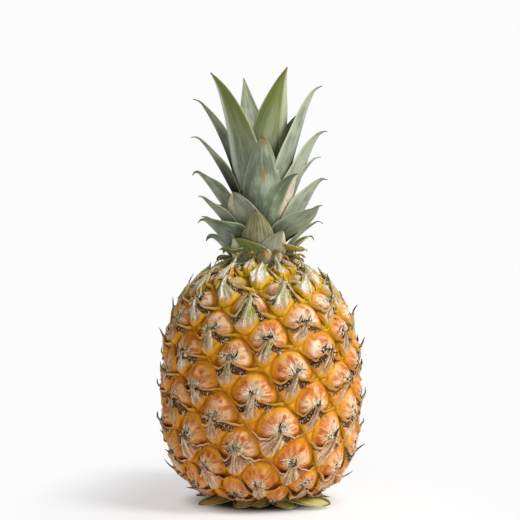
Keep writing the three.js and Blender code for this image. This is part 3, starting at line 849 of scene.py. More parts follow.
# The spines that the bracts end in, and the dried flower parts about each eye's middle.
spineShape = {
    "sides": 5, "rings": 8, "long": (4.6, 8.2), "topShare": 0.7, "thick": 0.9, "tip": 0.12, "flat": 0.7,
    "height": (3.9, 4.4), "sunk": 1.2,  # over the skin, low on the fruit and at its top, and the root's depth
    "lean": (0.95, 1.25), "curl": (-0.9, 0.5), "swing": (-0.5, 0.5),  # radians
    "reach": 59.85,  # none goes further from the fruit's axis
    "seed": 23,
}
flowerShape = {
    "bits": (8, 32), "long": (1.5, 5), "thick": 0.6, "height": 2.4, "spread": (0.52, 0.34), "flat": 0.45,
    "pitBits": 14, "pitLong": (0.8, 3), "pitThick": 0.36, "pitHeight": 1.0,
    "pitAside": (0.2, 0.54), "pitBelow": (0.1, 0.38),  # from the rib, and from the bract's edge
    "sides": 5, "rings": 5, "seed": 29,
}


def eyeAxes(n, p, q, height):  # a point of the eye, with the ways out, up and to the right there
    at = atEye(n, np.float64(p), np.float64(q), np.float64(height))
    out = atEye(n, np.float64(p), np.float64(q), np.float64(height + 1)) - at
    up = atEye(n, np.float64(p), np.float64(q + 0.02), np.float64(height)) - at
    out /= np.linalg.norm(out) + 1e-9
    up -= out * (up @ out)
    up /= np.linalg.norm(up) + 1e-9
    return at, out, up, np.cross(up, out)


def taperedTube(path, radii, sides, flat=1.0):
    path = np.asarray(path)
    along = np.gradient(path, axis=0)
    along /= np.linalg.norm(along, axis=1)[:, None]
    start = np.array([0.3, 0.2, 0.93]) if abs(along[0][2]) < 0.9 else np.array([1.0, 0.2, 0.1])
    side = np.cross(along, start)
    side /= np.linalg.norm(side, axis=1)[:, None]
    other = np.cross(along, side)
    turn = np.arange(sides) * 2 * np.pi / sides
    ring = np.cos(turn)[None, :, None] * side[:, None, :]
    ring = ring + flat * np.sin(turn)[None, :, None] * other[:, None, :]
    return (path[:, None, :] + np.asarray(radii)[:, None, None] * ring).reshape(-1, 3)


def makeSpines(finish):
    heap = Heap()
    s = spineShape
    rng = np.random.default_rng(s["seed"])
    faces = tubeFaces(s["rings"], s["sides"])
    for n in dressedEyes:
        pick = rng.uniform(0, 1, 6)
        rise = eyeRise(n)
        starP, starQ = star(n)
        at, out, up, right = eyeAxes(n, starP, starQ - 0.06, mixed(*s["height"], topness(n)))
        length = mixed(*s["long"], pick[0]) * mixed(1, s["topShare"], topness(n))
        lean = mixed(*s["lean"], pick[1])  # from straight out towards up
        curl = mixed(*s["curl"], pick[2])
        swing = mixed(*s["swing"], pick[3])
        step = length / (s["rings"] - 1)
        path = [at - up * s["sunk"]]
        for k in range(s["rings"] - 1):
            angle = lean + curl * (k / s["rings"]) ** 1.3
            way = out * math.cos(angle) + up * math.sin(angle) + right * swing * (k / s["rings"])
            path.append(path[-1] + way / np.linalg.norm(way) * step)
        path = np.array(path)
        far = np.hypot(path[:, 0], path[:, 1])
        path[:, :2] *= np.minimum(1, s["reach"] / far)[:, None]
        share = np.linspace(0, 1, s["rings"])
        radii = s["thick"] * (0.8 + 0.4 * pick[4]) * (1 - share) ** 0.8 + s["tip"]
        points = taperedTube(path, radii, s["sides"], s["flat"])
        along = np.repeat(share, s["sides"])
        layer = np.stack([along, np.full_like(along, pick[5]), np.full_like(along, rise)], -1)
        heap.add(points, faces, spinePlace=layer)
    return heap.make("spines", finish)


spineColours = {
    "foot": (196, 172, 136), "footDeep": (150, 118, 84), "end": (58, 48, 44), "endPale": (112, 84, 62),
    "topFoot": (214, 214, 176),
}


def spineFinish():
    c = paints(spineColours)
    f = Finish("spineHorn", Roughness=0.6, Specular_IOR_Level=0.15)
    along, lot, rise = f.layer("spinePlace")
    fine = f.noise(1.2, 3)
    foot = f.blend(fine, c.foot, c.footDeep)
    end = f.blend(lot, c.end, c.endPale)
    colour = f.blend((along + (fine - 0.5) * 0.5).smooth(0.15, 0.6), foot, end)
    colour = f.blend(rise.smooth(0.8, 0.95) * (1 - along.smooth(0.6, 1)), colour, c.topFoot)
    return f.done(Base_Color=colour, Normal=f.bump(fine, 0.2, 0.6))


def makeFlowers(finish):
    heap = Heap()
    s = flowerShape
    rng = np.random.default_rng(s["seed"])
    faces = tubeFaces(s["rings"], s["sides"])
    share = np.linspace(0, 1, s["rings"])[:, None]

    def addBit(n, p, q, height, long, thick, pick, marked):
        at, out, up, right = eyeAxes(n, p, q, height)
        tone = rng.uniform()
        if not up.any():  # the fruit's very top, where there is no way up
            return
        spin = pick[0] * 2 * np.pi
        length = mixed(*long, pick[1] ** 1.5)
        level = right * math.cos(spin) + up * math.sin(spin)
        bend = right * math.sin(spin) - up * math.cos(spin)
        path = at + level * share * length + bend * share ** 2 * (pick[2] - 0.5) * length * 0.8
        path = path + out * (share * mixed(0, 0.3, pick[3]) + 0.1 * share ** 2 * pick[4]) * length
        radii = thick * (0.7 + 0.6 * pick[7]) * (1 - 0.75 * share[:, 0])
        points = taperedTube(path, radii, s["sides"], s["flat"])
        heap.add(points, faces, flowerPlace=(tone, marked, 0))

    for n in dressedEyes:
        starP, starQ = star(n)
        for _ in range(round(mixed(*s["bits"], look(n, "marks")))):
            pick = rng.uniform(0, 1, 8)
            p = starP + s["spread"][0] * (pick[5] - 0.5)
            q = starQ + s["spread"][1] * (pick[6] - 0.42)
            addBit(n, p, q, s["height"], s["long"], s["thick"], pick, look(n, "marks"))
        for side, name in ((-1, "pitLeft"), (1, "pitRight")):
            for _ in range(round(s["pitBits"] * look(n, name))):
                pick = rng.uniform(0, 1, 8)
                p = side * mixed(*s["pitAside"], pick[5])
                q = np.interp(p, *bractShape["edge"]) - mixed(*s["pitBelow"], pick[6])
                addBit(n, p, q, s["pitHeight"], s["pitLong"], s["pitThick"], pick, 0)
    return heap.make("driedFlowers", finish)


flowerColours = {
    "light": (248, 242, 222), "lightWarm": (222, 202, 164), "dark": (16, 11, 10),
    "darkWarm": (64, 40, 30),
}


def flowerFinish():
    c = paints(flowerColours)
    f = Finish("flowerScraps", Roughness=0.7, Specular_IOR_Level=0.15)
    tone, marked, _ = f.layer("flowerPlace")
    fine = f.noise(0.8, 2)
    light = f.blend(fine, c.light, c.lightWarm)
    dark = f.blend(fine, c.dark, c.darkWarm)
    colour = f.blend((tone + marked * 0.25).smooth(0.72, 0.76), light, dark)
    return f.done(Base_Color=colour, Normal=f.bump(fine, 0.15, 0.5))


# Leaves, of the crown, the neck and the stem: bent blades with two faces.
blade = {
    "steps": 40, "curlSteps": 8, "crowd": 1.2,  # along the middle line, in its curled end, and to the tip
    "footShare": 0.82, "belly": 0.9, "tipShare": 0.03,  # of the width
    "tipThick": 0.8, "tipThin": 0.5, "edgeThin": 0.72, "twistSpan": 0.9, "offBeat": 1.7,
}
plainLeaf = {"startShare": 0.4, "endShare": 0.3, "lean": 0.0, "leanPower": 1}  # if its piece says no other


def leafPath(shape, count):  # the middle line as [radius, z] points, with its end curled over
    foot, tip = np.array(shape["foot"], float), np.array(shape["tip"], float)
    span = np.linalg.norm(tip - foot)
    bends = blade["curlSteps"]
    angles = np.radians(shape["fall"] - shape["curl"] * np.linspace(0, 1, bends + 1))
    steps = np.stack([np.cos(angles), np.sin(angles)], -1)[:-1] * shape["curlShare"] * span / bends
    curl = np.concatenate([[[0, 0]], np.cumsum(steps, axis=0)])
    end = tip - curl.max(axis=0)
    reach = np.linalg.norm(end - foot)
    rise, fall = np.radians(shape["rise"]), np.radians(shape["fall"])
    first = foot + np.array([math.cos(rise), math.sin(rise)]) * reach * shape["startShare"]
    last = end - np.array([math.cos(fall), math.sin(fall)]) * reach * shape["endShare"]
    t = np.linspace(0, 1, blade["steps"])[:, None]
    line = (1 - t) ** 3 * foot + 3 * (1 - t) ** 2 * t * first + 3 * (1 - t) * t * t * last + t ** 3 * end
    line = np.concatenate([line, end + curl[1:]])
    run = np.concatenate([[0], np.cumsum(np.linalg.norm(np.diff(line, axis=0), axis=1))])
    share = 1 - (1 - np.linspace(0, 1, count)) ** blade["crowd"]
    where = share * run[-1]
    return np.stack([np.interp(where, run, line[:, k]) for k in (0, 1)], -1), share


def leafShell(shape, stations=26, points=11):  # its points and faces, and each point's place on the blade
    path, t = leafPath(shape, stations)
    along = np.gradient(path, axis=0)
    along /= np.linalg.norm(along, axis=1)[:, None]
    power, blunt = shape["taper"]
    outline = blade["footShare"] + blade["belly"] * t * (1 - t)
    outline = outline * np.clip(1 - t ** power, 0, 1) ** blunt
    half = shape["width"] / 2 * np.maximum(outline, blade["tipShare"])
    thick = mixed(shape["thick"], blade["tipThick"], t) * (1 - blade["tipThin"] * t ** 4)
    e = np.sin(np.linspace(-np.pi / 2, np.pi / 2, points))  # -1 at the left edge, 1 at the right
    beat = shape["waves"] * t[:, None] + shape["phase"] + blade["offBeat"] * (e > 0)
    wave = shape["wave"] * np.sin(beat) * np.abs(e) ** 3 * np.sin(np.pi * t)[:, None]
    depth = (half * shape["channel"])[:, None] * e ** 2 + wave
    walls = thick[:, None] * (1 - blade["edgeThin"] * e ** 2)
    twist = shape["twist"] * np.sin(np.pi * t * blade["twistSpan"])[:, None]
    turn = math.radians(shape["turn"])
    cos, sin = math.cos(turn), math.sin(turn)
    across = half[:, None] * e
    sets = []
    for inward in (depth, depth + walls):
        x = across * np.cos(twist) - inward * np.sin(twist)
        inward = across * np.sin(twist) + inward * np.cos(twist)
        x = x + (shape["sway"] * np.sin(np.pi * t) + shape["lean"] * t ** shape["leanPower"])[:, None]
        r = path[:, 0, None] - along[:, 1, None] * inward
        z = path[:, 1, None] + along[:, 0, None] * inward
        sets.append(np.stack([r * cos - x * sin, r * sin + x * cos, z], -1))
    rings = np.concatenate([sets[0], sets[1][:, ::-1]], axis=1)
    sides = rings.shape[1]
    ee = np.broadcast_to(np.concatenate([e, e[::-1]]), (stations, sides))
    tt = np.broadcast_to(t[:, None], (stations, sides))
    place = np.stack([ee, tt, np.zeros_like(tt)], -1).reshape(-1, 3)
    return rings.reshape(-1, 3), tubeFaces(stations, sides), place


crown = {
    "seatZ": 131.5, "footRadius": 16, "tipRadius": 1.5, "stemTopZ": 188, "leaves": 60, "firstTurn": 67.7,
    "footZ": (132, 175), "tipZ": (136, 252), "sunk": 2.5,  # from the lowest leaf to the top one
    "reach": (21, 40.5), "drawnIn": 14, "rise": (45, 83), "width": (8, 21), "thick": 1.9, "channel": 0.42,
    "fall": (-10, 42, 15, 30),  # of the lowest leaf, and what is added low down, midway and at the top
    "curl": (120, 30), "curlLuck": (0.7, 1.2), "curlShare": (0.28, 0.09),
    "front": {"rise": 84, "fall": 62, "curl": 30, "curlShare": 0.08},  # the low leaves there stand close
    "missing": (33, 38, 43), "seed": 5,
}

# Leaves that stand apart from the spiral's rule, by number from the bottom: the tip's turn, radius and
# height. A turn or a tip in leafLooks moves the leaf once more, without changing its bend.
crownTips = {
    6: (172.7, 25.6, 138.8), 7: (-58, 19.5, 139.6), 10: (2.7, 24.5, 137.4), 12: (-78, 22.5, 142.5),
    14: (-167, 25, 143), 15: (-29.7, 29.7, 142.2), 17: (-134, 23, 148.4), 18: (22.8, 34.2, 152.3),
    19: (160.3, 34.5, 151.7), 20: (-57, 23, 152.5), 23: (-9.7, 36.1, 159.2), 25: (-97, 25, 163.5),
    26: (42.9, 33, 161), 27: (-179.6, 36.8, 160.6), 28: (-36, 42.3, 165.9), 30: (-132, 25.7, 174.7),
    31: (10.4, 28.5, 171), 32: (147.9, 33, 172), 35: (-159.6, 38.6, 172.9), 36: (-22, 40.7, 181.7),
    37: (115.4, 33, 184), 39: (30.5, 26, 187), 40: (168, 41.7, 190.5), 41: (-49, 31, 184.5),
    44: (-2, 35.1, 197.5), 45: (135.5, 24, 203), 46: (-87, 27, 204.2), 47: (50.5, 27, 209),
    48: (-172, 41.3, 209), 49: (-28, 42.5, 209.2), 51: (-137, 39, 241.2), 52: (18, 27, 228),
    53: (163, 43.2, 236.1), 54: (-55, 26.1, 246), 55: (70.6, 18, 228), 56: (-152, 22, 228),
    57: (-20, 38, 237.3), 58: (117, 23.7, 251.7), 59: (-99, 10, 208),
}

# How single leaves differ: entries of the shape, and from 0 to 1 how olive, dry, pale or deeply shaded
# one is, its streak, its spots and its worn edges. A lit half is painted light and shade: -1 with the
# lit strip right and the left half shaded, 1 with a lit strip left.
leafLooks = {
    57: {"turn": -8, "tip": (36.6, 239.4), "foot": (8, 160), "rise": 70, "fall": 65, "width": 29,
         "taper": (2.1, 0.9), "channel": 0.58, "curl": 55, "pale": 0.5},
    54: {"width": 27, "taper": (2.8, 0.9), "channel": 0.3, "curl": 10, "olive": 0.8, "pale": 0.4,
         "fold": -1},
    51: {"foot": (10, 163), "width": 26, "taper": (2.5, 0.9), "channel": 0.34, "sway": -0.5, "curl": 12,
         "olive": 0.85, "pale": 0.45, "fold": 1},
    58: {"width": 22, "curl": 8, "olive": 0.2, "pale": 0.4},
    53: {"foot": (12, 156), "rise": 86, "width": 29, "twist": 0.4, "curl": 50, "pale": 0.2, "deep": 1},
    49: {"turn": -3, "tip": (39.1, 213), "foot": (8, 153), "rise": 57, "fall": 55, "width": 26,
         "channel": 0.72, "curl": 60, "pale": 0.6},
    48: {"turn": 168, "tip": (43, 212), "foot": (9, 158), "rise": 68, "width": 19, "twist": 0.35,
         "curl": 70, "pale": 0.35, "deep": 0.9},
    46: {"foot": (14.5, 151), "width": 23, "taper": (3, 0.8), "pale": 0.3, "streak": 1},
    44: {"turn": 4, "tip": (35.5, 198.5), "foot": (13, 152), "width": 22, "curl": 55, "pale": 0.5},
    41: {"turn": -72, "tip": (27, 184.5), "foot": (14.5, 146), "width": 21, "taper": (2.8, 0.8),
         "lean": 12.6, "pale": 0.1, "spots": 0.5, "rightEdge": 0.8},
    40: {"foot": (12, 154), "rise": 56, "width": 29, "taper": (1.6, 0.9), "twist": 0.4, "curl": 135,
         "pale": 0.3, "streak": 1},
    36: {"turn": -8, "tip": (39, 184), "foot": (14, 150), "rise": 52, "width": 28, "twist": -0.15,
         "curl": 80, "pale": 0.7},
    35: {"foot": (13, 148), "rise": 52, "width": 15, "twist": 0.1, "curl": 60, "pale": 0.4},
    30: {"turn": -124, "tip": (24.5, 174.7), "foot": (14, 144), "rise": 88, "fall": 80, "width": 22,
         "taper": (4, 0.8), "channel": 0.2, "lean": -3, "leanPower": 3, "dry": 0.05, "pale": 0.6,
         "leftEdge": 0.62},
    28: {"foot": (14, 146), "rise": 48, "width": 24, "taper": (1.3, 0.9), "twist": -0.4, "curl": 75,
         "pale": 0.35, "spots": 1},
    27: {"foot": (15, 141), "rise": 50, "width": 20, "twist": 0.25, "curl": 110, "pale": 0.35},
    25: {"foot": (17, 137), "width": 20, "taper": (2.4, 0.85), "olive": 0.35, "dry": 0.3},
    23: {"foot": (17, 140), "width": 13, "twist": 0.2, "curl": 110, "olive": 0.5, "pale": 0.4},
    20: {"turn": -68, "tip": (23.5, 152.5), "foot": (18.5, 133), "rise": 88, "fall": 80, "width": 17,
         "taper": (3, 0.85), "lean": 4, "leanPower": 3, "olive": 0.4, "dry": 0.1, "pale": 0.6,
         "rightEdge": 0.55},
    19: {"foot": (16.5, 136), "rise": 50, "width": 19, "twist": 0.35, "curl": 120, "pale": 0.35},
    18: {"foot": (18, 137), "width": 11, "curl": 120, "olive": 1.2, "pale": 0.6},
    17: {"turn": -110, "tip": (22.5, 148.4), "foot": (19, 132), "rise": 88, "fall": 80, "width": 22,
         "taper": (4.5, 0.85), "channel": 0.2, "lean": -8.5, "leanPower": 4, "olive": 1.0, "pale": 0.2,
         "leftEdge": 0.6},
    15: {"curl": 150, "olive": 1.5, "pale": 0.3},
    14: {"dry": 0.4},
    12: {"turn": -83, "tip": (24.5, 142), "foot": (21.5, 131), "rise": 84, "fall": 70, "width": 10,
         "taper": (3, 0.7), "channel": 0.5, "olive": 0.5, "dry": 0.4, "pale": 0.5, "rightEdge": 0.9},
    10: {"curl": 150, "olive": 1.5, "dry": 0.5, "pale": 0.3},
    7: {"turn": -66, "tip": (25, 140), "foot": (22, 130), "rise": 84, "fall": 70, "width": 11,
        "taper": (3, 0.7), "channel": 0.5, "olive": 0.5, "dry": 0.4, "pale": 0.5, "rightEdge": 0.9},
    6: {"curl": 170, "dry": 0.6},
}


def stemRadius(z):
    t = np.clip((z - crown["seatZ"]) / (crown["stemTopZ"] - crown["seatZ"]), 0, 1)
    return crown["footRadius"] * (1 - t) ** 0.8 + crown["tipRadius"]


def frontness(turn):
    return max(0.0, math.cos(math.radians(turn + 90)))


def crownLeaf(k, rng):
    c = crown
    u = (k + 0.5) / c["leaves"]
    footZ = mixed(*c["footZ"], u ** 1.4)
    tipRadius = mixed(*c["reach"], smoothStep(0, 0.42, u)) - c["drawnIn"] * smoothStep(0.85, 1, u)
    rule = (c["firstTurn"] + skin["golden"] * k, tipRadius, mixed(*c["tipZ"], u ** 1.6))
    turn, *tip = crownTips.get(k, rule)
    pick = rng.uniform(0, 1, 8)
    fall, low, middle, high = c["fall"]
    fall = fall + low * smoothStep(0, 0.3, u) + middle * smoothStep(0.35, 0.75, u)
    fall = fall + high * smoothStep(0.84, 0.97, u)
    shape = {
        "turn": turn, "tip": tip, "foot": (stemRadius(footZ) - c["sunk"], footZ),
        "rise": mixed(*c["rise"], smoothStep(0, 0.5, u)), "fall": fall,
        "width": mixed(*c["width"], smoothStep(0, 0.34, u)), "channel": c["channel"], "thick": c["thick"],
        "curl": mixed(*c["curl"], smoothStep(0.2, 0.85, u)) * mixed(*c["curlLuck"], pick[0]),
        "curlShare": mixed(*c["curlShare"], smoothStep(0.05, 0.8, u)),
        "taper": (2.2, 0.9), "wave": 0.35, "waves": 9 + 8 * pick[1], "phase": anyPhase * pick[2],
        "twist": 0.16 * (pick[3] - 0.5), "sway": 2.5 * (pick[4] - 0.5) * (1 - frontness(turn)),
        "olive": 0.25 * pick[5] + 0.35 * (1 - smoothStep(0.1, 0.4, u)),
        "dry": 0.25 * (1 - smoothStep(0.05, 0.22, u)),
        "startShare": 0.45, "endShare": 0.2, "lean": 0.0, "leanPower": 1.6,
        **dict.fromkeys(("streak", "fold", "spots", "pale", "leftEdge", "rightEdge", "deep"), 0.0),
    }
    close = frontness(turn) * (1 - smoothStep(0.45, 0.85, u))
    for key, value in c["front"].items():
        shape[key] = mixed(shape[key], value, close)
    shape.update(leafLooks.get(k, {}))
    return shape, pick


def makeCrownLeaves(finish):
    heap = Heap()
    rng = np.random.default_rng(crown["seed"])
    for k in range(crown["leaves"]):
        shape, pick = crownLeaf(k, rng)
        if k in crown["missing"]:
            continue
        points, faces, place = leafShell(shape)
        place[:, 2] = shape["deep"]
        heap.add(points, faces, leafPlace=place, leafTone=(shape["olive"], shape["dry"], pick[6]),
                 leafMark=(shape["streak"], shape["fold"], shape["spots"]),
                 leafEdge=(shape["pale"], shape["leftEdge"], shape["rightEdge"]))
    piece = heap.make("crownLeaves", finish)
    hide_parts("crown")
    return piece


leafColours = {
    "greyDeep": (84, 96, 70), "grey": (124, 136, 106), "bloom": (170, 180, 158),
    "greenDeep": (90, 99, 30), "green": (124, 133, 56), "limeDeep": (150, 140, 40),
    "lime": (204, 190, 96), "thread": (186, 192, 162), "pale": (186, 188, 166), "shade": (34, 42, 24),
    "wornDeep": (206, 190, 160), "worn": (238, 230, 208), "rust": (170, 118, 78),
    "foldPale": (196, 202, 166), "foldDark": (68, 82, 22), "foldLight": (216, 222, 204),
    "mark": (152, 122, 54), "spot": (38, 34, 30), "rim": (202, 202, 160), "strawDeep": (140, 118, 62),
    "straw": (206, 190, 134), "tip": (156, 122, 78), "tipDark": (104, 72, 48),
}


def leafFinish():
    c = paints(leafColours)
    f = Finish("leafBloom", Specular_IOR_Level=0.25)
    e, t, deep = f.layer("leafPlace")
    olive, dry, lot = f.layer("leafTone")
    streak, fold, spots = f.layer("leafMark")
    pale, leftEdge, rightEdge = f.layer("leafEdge")
    far = abs(e)
    cloud = f.noise(14, 3)
    fine = f.noise(2.5, 3)
    grit = f.noise(0.7, 2)
    lines = f.noise(1.0, 3, f.vector(e * 17, t * 2.2, lot * 40))
    threads = f.noise(1.0, 2, f.vector(e * 42, t * 3.5, lot * 60))
    scuffs = f.noise(1.0, 4, f.vector(e * 4, t * 5, lot * 80))
    grey = f.blend((lines + (cloud - 0.5) * 0.9).smooth(0.3, 0.7), c.greyDeep, c.grey)
    waxy = (scuffs + (cloud - 0.5) * 0.8 + pale * 0.3).smooth(0.44, 0.8)
    bloom = f.blend(waxy * 0.75, grey, c.bloom)
    green = f.blend(lines.smooth(0.3, 0.7), c.greenDeep, c.green)
    green = f.blend(olive.smooth(1, 1.5), green, f.blend(lines, c.limeDeep, c.lime))
    share = olive * 1.1 - 0.3 + (cloud - 0.5) * 0.9 + (t - 0.55) * (0.5 + olive * 2) + (far - 0.5) * 0.4
    share = share.limited()
    colour = f.blend(share, bloom, green)
    colour = f.blend(threads.smooth(0.55, 0.8) * 0.35, colour, c.thread)
    colour = f.blend(pale * (0.5 + (fine - 0.5) * 0.6) * (1 - share * 0.9), colour, c.pale)
    shade = (1 - (t - deep * 0.25).smooth(0.05, 0.55)) * (1 - (pale + olive - deep).limited() * 0.7)
    colour = f.blend(shade * 0.9, colour, c.shade)
    worn = f.blend((lines * 0.6 + fine * 0.7).smooth(0.5, 0.8), c.wornDeep, c.worn)
    edge = (e + (lines - 0.5) * 0.2) * t.smooth(0.2, 0.5)
    colour = f.blend((edge + rightEdge - 1).smooth(-0.05, 0.08) * 0.9, colour, worn)
    colour = f.blend((leftEdge - 1 - edge).smooth(-0.1, 0.12) * 0.95, colour, worn)
    rust = (edge + rightEdge - 1 + (fine - 0.5) * 0.2).hump(0.07, 0.16) * rightEdge.smooth(0, 0.4)
    rust = rust * (fine + lines * 0.5).smooth(0.55, 0.95)
    colour = f.blend(rust * 0.7, colour, c.rust)
    # painted light and shade: a lit pale strip on one half of the leaf, and for -1 a shaded darker other half
    litHalfRight = (-fold).math("MAXIMUM", 0.0)
    litHalfLeft = fold.math("MAXIMUM", 0.0)
    colour = f.blend(litHalfRight * (e + (lines - 0.5) * 0.4).smooth(0.2, 0.5) * 0.8, colour, c.foldPale)
    colour = f.blend(litHalfRight * (1 - e.smooth(-0.8, -0.3)) * 0.4, colour, c.foldDark)
    strip = ((lines - 0.5) * 0.5 - e).smooth(0.1, 0.6) * t.smooth(0.1, 0.4)
    colour = f.blend(litHalfLeft * strip * 0.85, colour, c.foldLight)
    brownTop = (t + (fine - 0.5) * 0.2).smooth(0.82, 0.95)
    mark = streak * (e.hump(0.02, 0.2) * t.hump(0.6, 0.12) + brownTop * 0.8)
    colour = f.blend(mark * 0.8, colour, c.mark)
    dots = spots * grit.smooth(0.66, 0.72) * cloud.smooth(0.45, 0.6)
    colour = f.blend(dots, colour, c.spot)
    colour = f.blend(far.smooth(0.92, 0.99) * 0.55, colour, c.rim)
    straw = f.blend(lines.smooth(0.35, 0.65), c.strawDeep, c.straw)
    colour = f.blend((dry * 1.2 + (cloud - 0.5) * dry).limited(), colour, straw)
    tip = (t + (fine - 0.5) * 0.05).smooth(0.95, 0.985)
    colour = f.blend(tip, colour, f.blend(fine, c.tip, c.tipDark))
    rough = 0.5 + cloud * 0.15 + dry * 0.15
    normal = f.bump(lines, 0.2, 0.4)
    normal = f.bump(threads + grit * 0.4, 0.1, 0.45, normal)
    return f.done(Base_Color=colour, Roughness=rough, Normal=normal)


neck = {
    "strips": 46, "seed": 12, "foot": (130.5, 135), "footRadius": 14, "reach": (20, 28), "up": (1.5, 8),
    "rise": (10, 70), "fall": (-30, 40), "width": (3, 7), "channel": (-0.5, 0.8), "curl": (40, 170),
    "stemRings": 14, "stemSides": 48, "stemSlack": 0.6, "stemSunk": 1.5, "stemShort": 1, "stemUneven": 0.03,
    "stemSeed": 3,
}


def makeNeck(finish):
    heap = Heap()
    rng = np.random.default_rng(neck["seed"])
    for k in range(neck["strips"]):
        pick = rng.uniform(0, 1, 10)
        z = mixed(*neck["foot"], pick[0])
        shape = {
            "turn": k * skin["golden"] + 20 * pick[1], "foot": (neck["footRadius"], z),
            "tip": (mixed(*neck["reach"], pick[2]), z + mixed(*neck["up"], pick[3])),
            "rise": mixed(*neck["rise"], pick[4]), "fall": mixed(*neck["fall"], pick[5]),
            "width": mixed(*neck["width"], pick[6]), "channel": mixed(*neck["channel"], pick[7]),
            "curl": mixed(*neck["curl"], pick[8]), "curlShare": 0.35, "taper": (2.2, 0.7), "thick": 0.9,
            "wave": 0.5, "waves": 9, "phase": 6 * pick[9],
            "twist": 0.9 * (pick[1] - 0.5), "sway": 2 * (pick[4] - 0.5), **plainLeaf,
        }
        points, faces, place = leafShell(shape, 14, 5)
        heap.add(points, faces, scrapPlace=place, scrapTone=(pick[6], pick[9], pick[2]))
    return heap.make("neckScraps", finish)


scrapColours = {
    "brownDeep": (60, 42, 26), "brown": (128, 96, 58), "oliveDeep": (124, 118, 54),
    "olive": (186, 176, 104), "rustDeep": (146, 98, 42), "rust": (200, 156, 84),
}


def scrapFinish():
    c = paints(scrapColours)
    f = Finish("driedScraps", Roughness=0.75)
    e, t, _ = f.layer("scrapPlace")
    tone, lot, reach = f.layer("scrapTone")
    fine = f.noise(1.6, 3)
    lines = f.noise(1.0, 3, f.vector(e * 9, t * 1.5, lot * 40))
    brown = f.blend(lines.smooth(0.3, 0.7), c.brownDeep, c.brown)
    olive = f.blend(lines.smooth(0.3, 0.7), c.oliveDeep, c.olive)
    rust = f.blend(fine, c.rustDeep, c.rust)
    colour = f.blend(tone.smooth(0.45, 0.7), brown, olive)
    x = f.place.parts()[0]
    rusty = x.smooth(0.002, 0.014) * lot.smooth(0.2, 0.5) + reach.smooth(0.86, 0.92)
    colour = f.blend(rusty.limited(), colour, rust)
    return f.done(Base_Color=colour, Normal=f.bump(lines + fine * 0.5, 0.3, 0.7))


def turnedPoints(profile, sides, seed, uneven, lumpSize=7):  # a slightly uneven turned shape
    profile = np.array(profile, float)
    turn = np.arange(sides) * 2 * np.pi / sides
    r, z = profile[:, 0, None], profile[:, 1, None]
    points = np.stack([r * np.cos(turn), r * np.sin(turn), np.broadcast_to(z, (len(profile), sides))], -1)
    push = 1 + uneven * ripples(points.reshape(-1, 3), lumpSize, seed).reshape(len(profile), sides)
    points[..., :2] *= push[..., None]
    return points.reshape(-1, 3)


def makeCrownStem(finish):
    low, high = crown["seatZ"] - neck["stemSunk"], crown["stemTopZ"] - neck["stemShort"]
    heights = np.linspace(low, high, neck["stemRings"])
    profile = [(float(stemRadius(z)) - neck["stemSlack"], z) for z in heights]
    points = turnedPoints(profile, neck["stemSides"], neck["stemSeed"], neck["stemUneven"])
    return makePiece("crownStem", points, tubeFaces(len(profile), neck["stemSides"]), finish)


fibreColours = {  # between the fibres and on them
    "crownStemFibre": ((86, 74, 42), (150, 140, 92)),
    "cutStemFibre": ((150, 118, 72), (214, 190, 140)),
}


def fibreFinish(name):
    f = Finish(name, Roughness=0.75)
    dark, pale = (paint(*colour) for colour in fibreColours[name])
    x, y, z = f.place.parts()
    turn = y.math("ARCTAN2", x)
    lines = f.noise(1.0, 3, f.vector(turn * 14, z * 60, 0.0))
    fine = f.noise(1.5, 3)
    colour = f.blend((lines + (fine - 0.5) * 0.4).smooth(0.3, 0.7), dark, pale)
    return f.done(Base_Color=colour, Normal=f.bump(lines + fine * 0.5, 0.4, 0.8))


# The stem and the bracts that lie flat round it.

stem = {
    "cutRadius": 13, "topRadius": 15, "height": 7.2, "sides": 64, "uneven": 0.02,
    "unevenSeed": 17, "seed": 31,
    "leafFoot": (12, 5.6), "leafTipZ": (1.2, 1.8), "leafWidth": 1.12, "leafThick": 1.3, "leafChannel": 0.13,
    "leafRise": -8, "leafFall": -3, "leafCurl": -14, "floor": 0.02,
}
baseLeaves = [  # turn, reach and width
    (-38, 46, 21), (-143, 42, 14), (-110, 35, 12), (-92, 31, 12), (-64, 36, 14),
    (-4, 38, 15), (34, 36, 14), (79, 35, 14), (124, 37, 15), (171, 38, 14),
]


def makeBaseBracts(finish):
    heap = Heap()
    rng = np.random.default_rng(stem["seed"])
    for turn, reach, width in baseLeaves:
        pick = rng.uniform(0, 1, 4)
        shape = {
            "turn": turn, "foot": stem["leafFoot"], "tip": (reach, mixed(*stem["leafTipZ"], pick[0])),
            "rise": stem["leafRise"], "fall": stem["leafFall"], "curl": stem["leafCurl"], "curlShare": 0.1,
            "width": width * stem["leafWidth"], "channel": stem["leafChannel"], "thick": stem["leafThick"],
            "taper": (6, 0.5), "wave": 0.3, "waves": 6, "phase": 6 * pick[1],
            "twist": 0.05 * (pick[2] - 0.5), "sway": 1.5 * (pick[3] - 0.5), **plainLeaf,
        }
        points, faces, place = leafShell(shape, 22, 13)
        points[:, 2] = np.maximum(points[:, 2], stem["floor"])
        heap.add(points, faces, basePlace=place, baseTone=(pick[2], 0, 0))
    return heap.make("baseBracts", finish)


baseColours = {
    "inner": (240, 244, 176), "innerDeep": (212, 218, 130), "outer": (138, 142, 60),
    "outerDeep": (90, 94, 34), "rim": (222, 216, 160), "thread": (206, 202, 144),
}


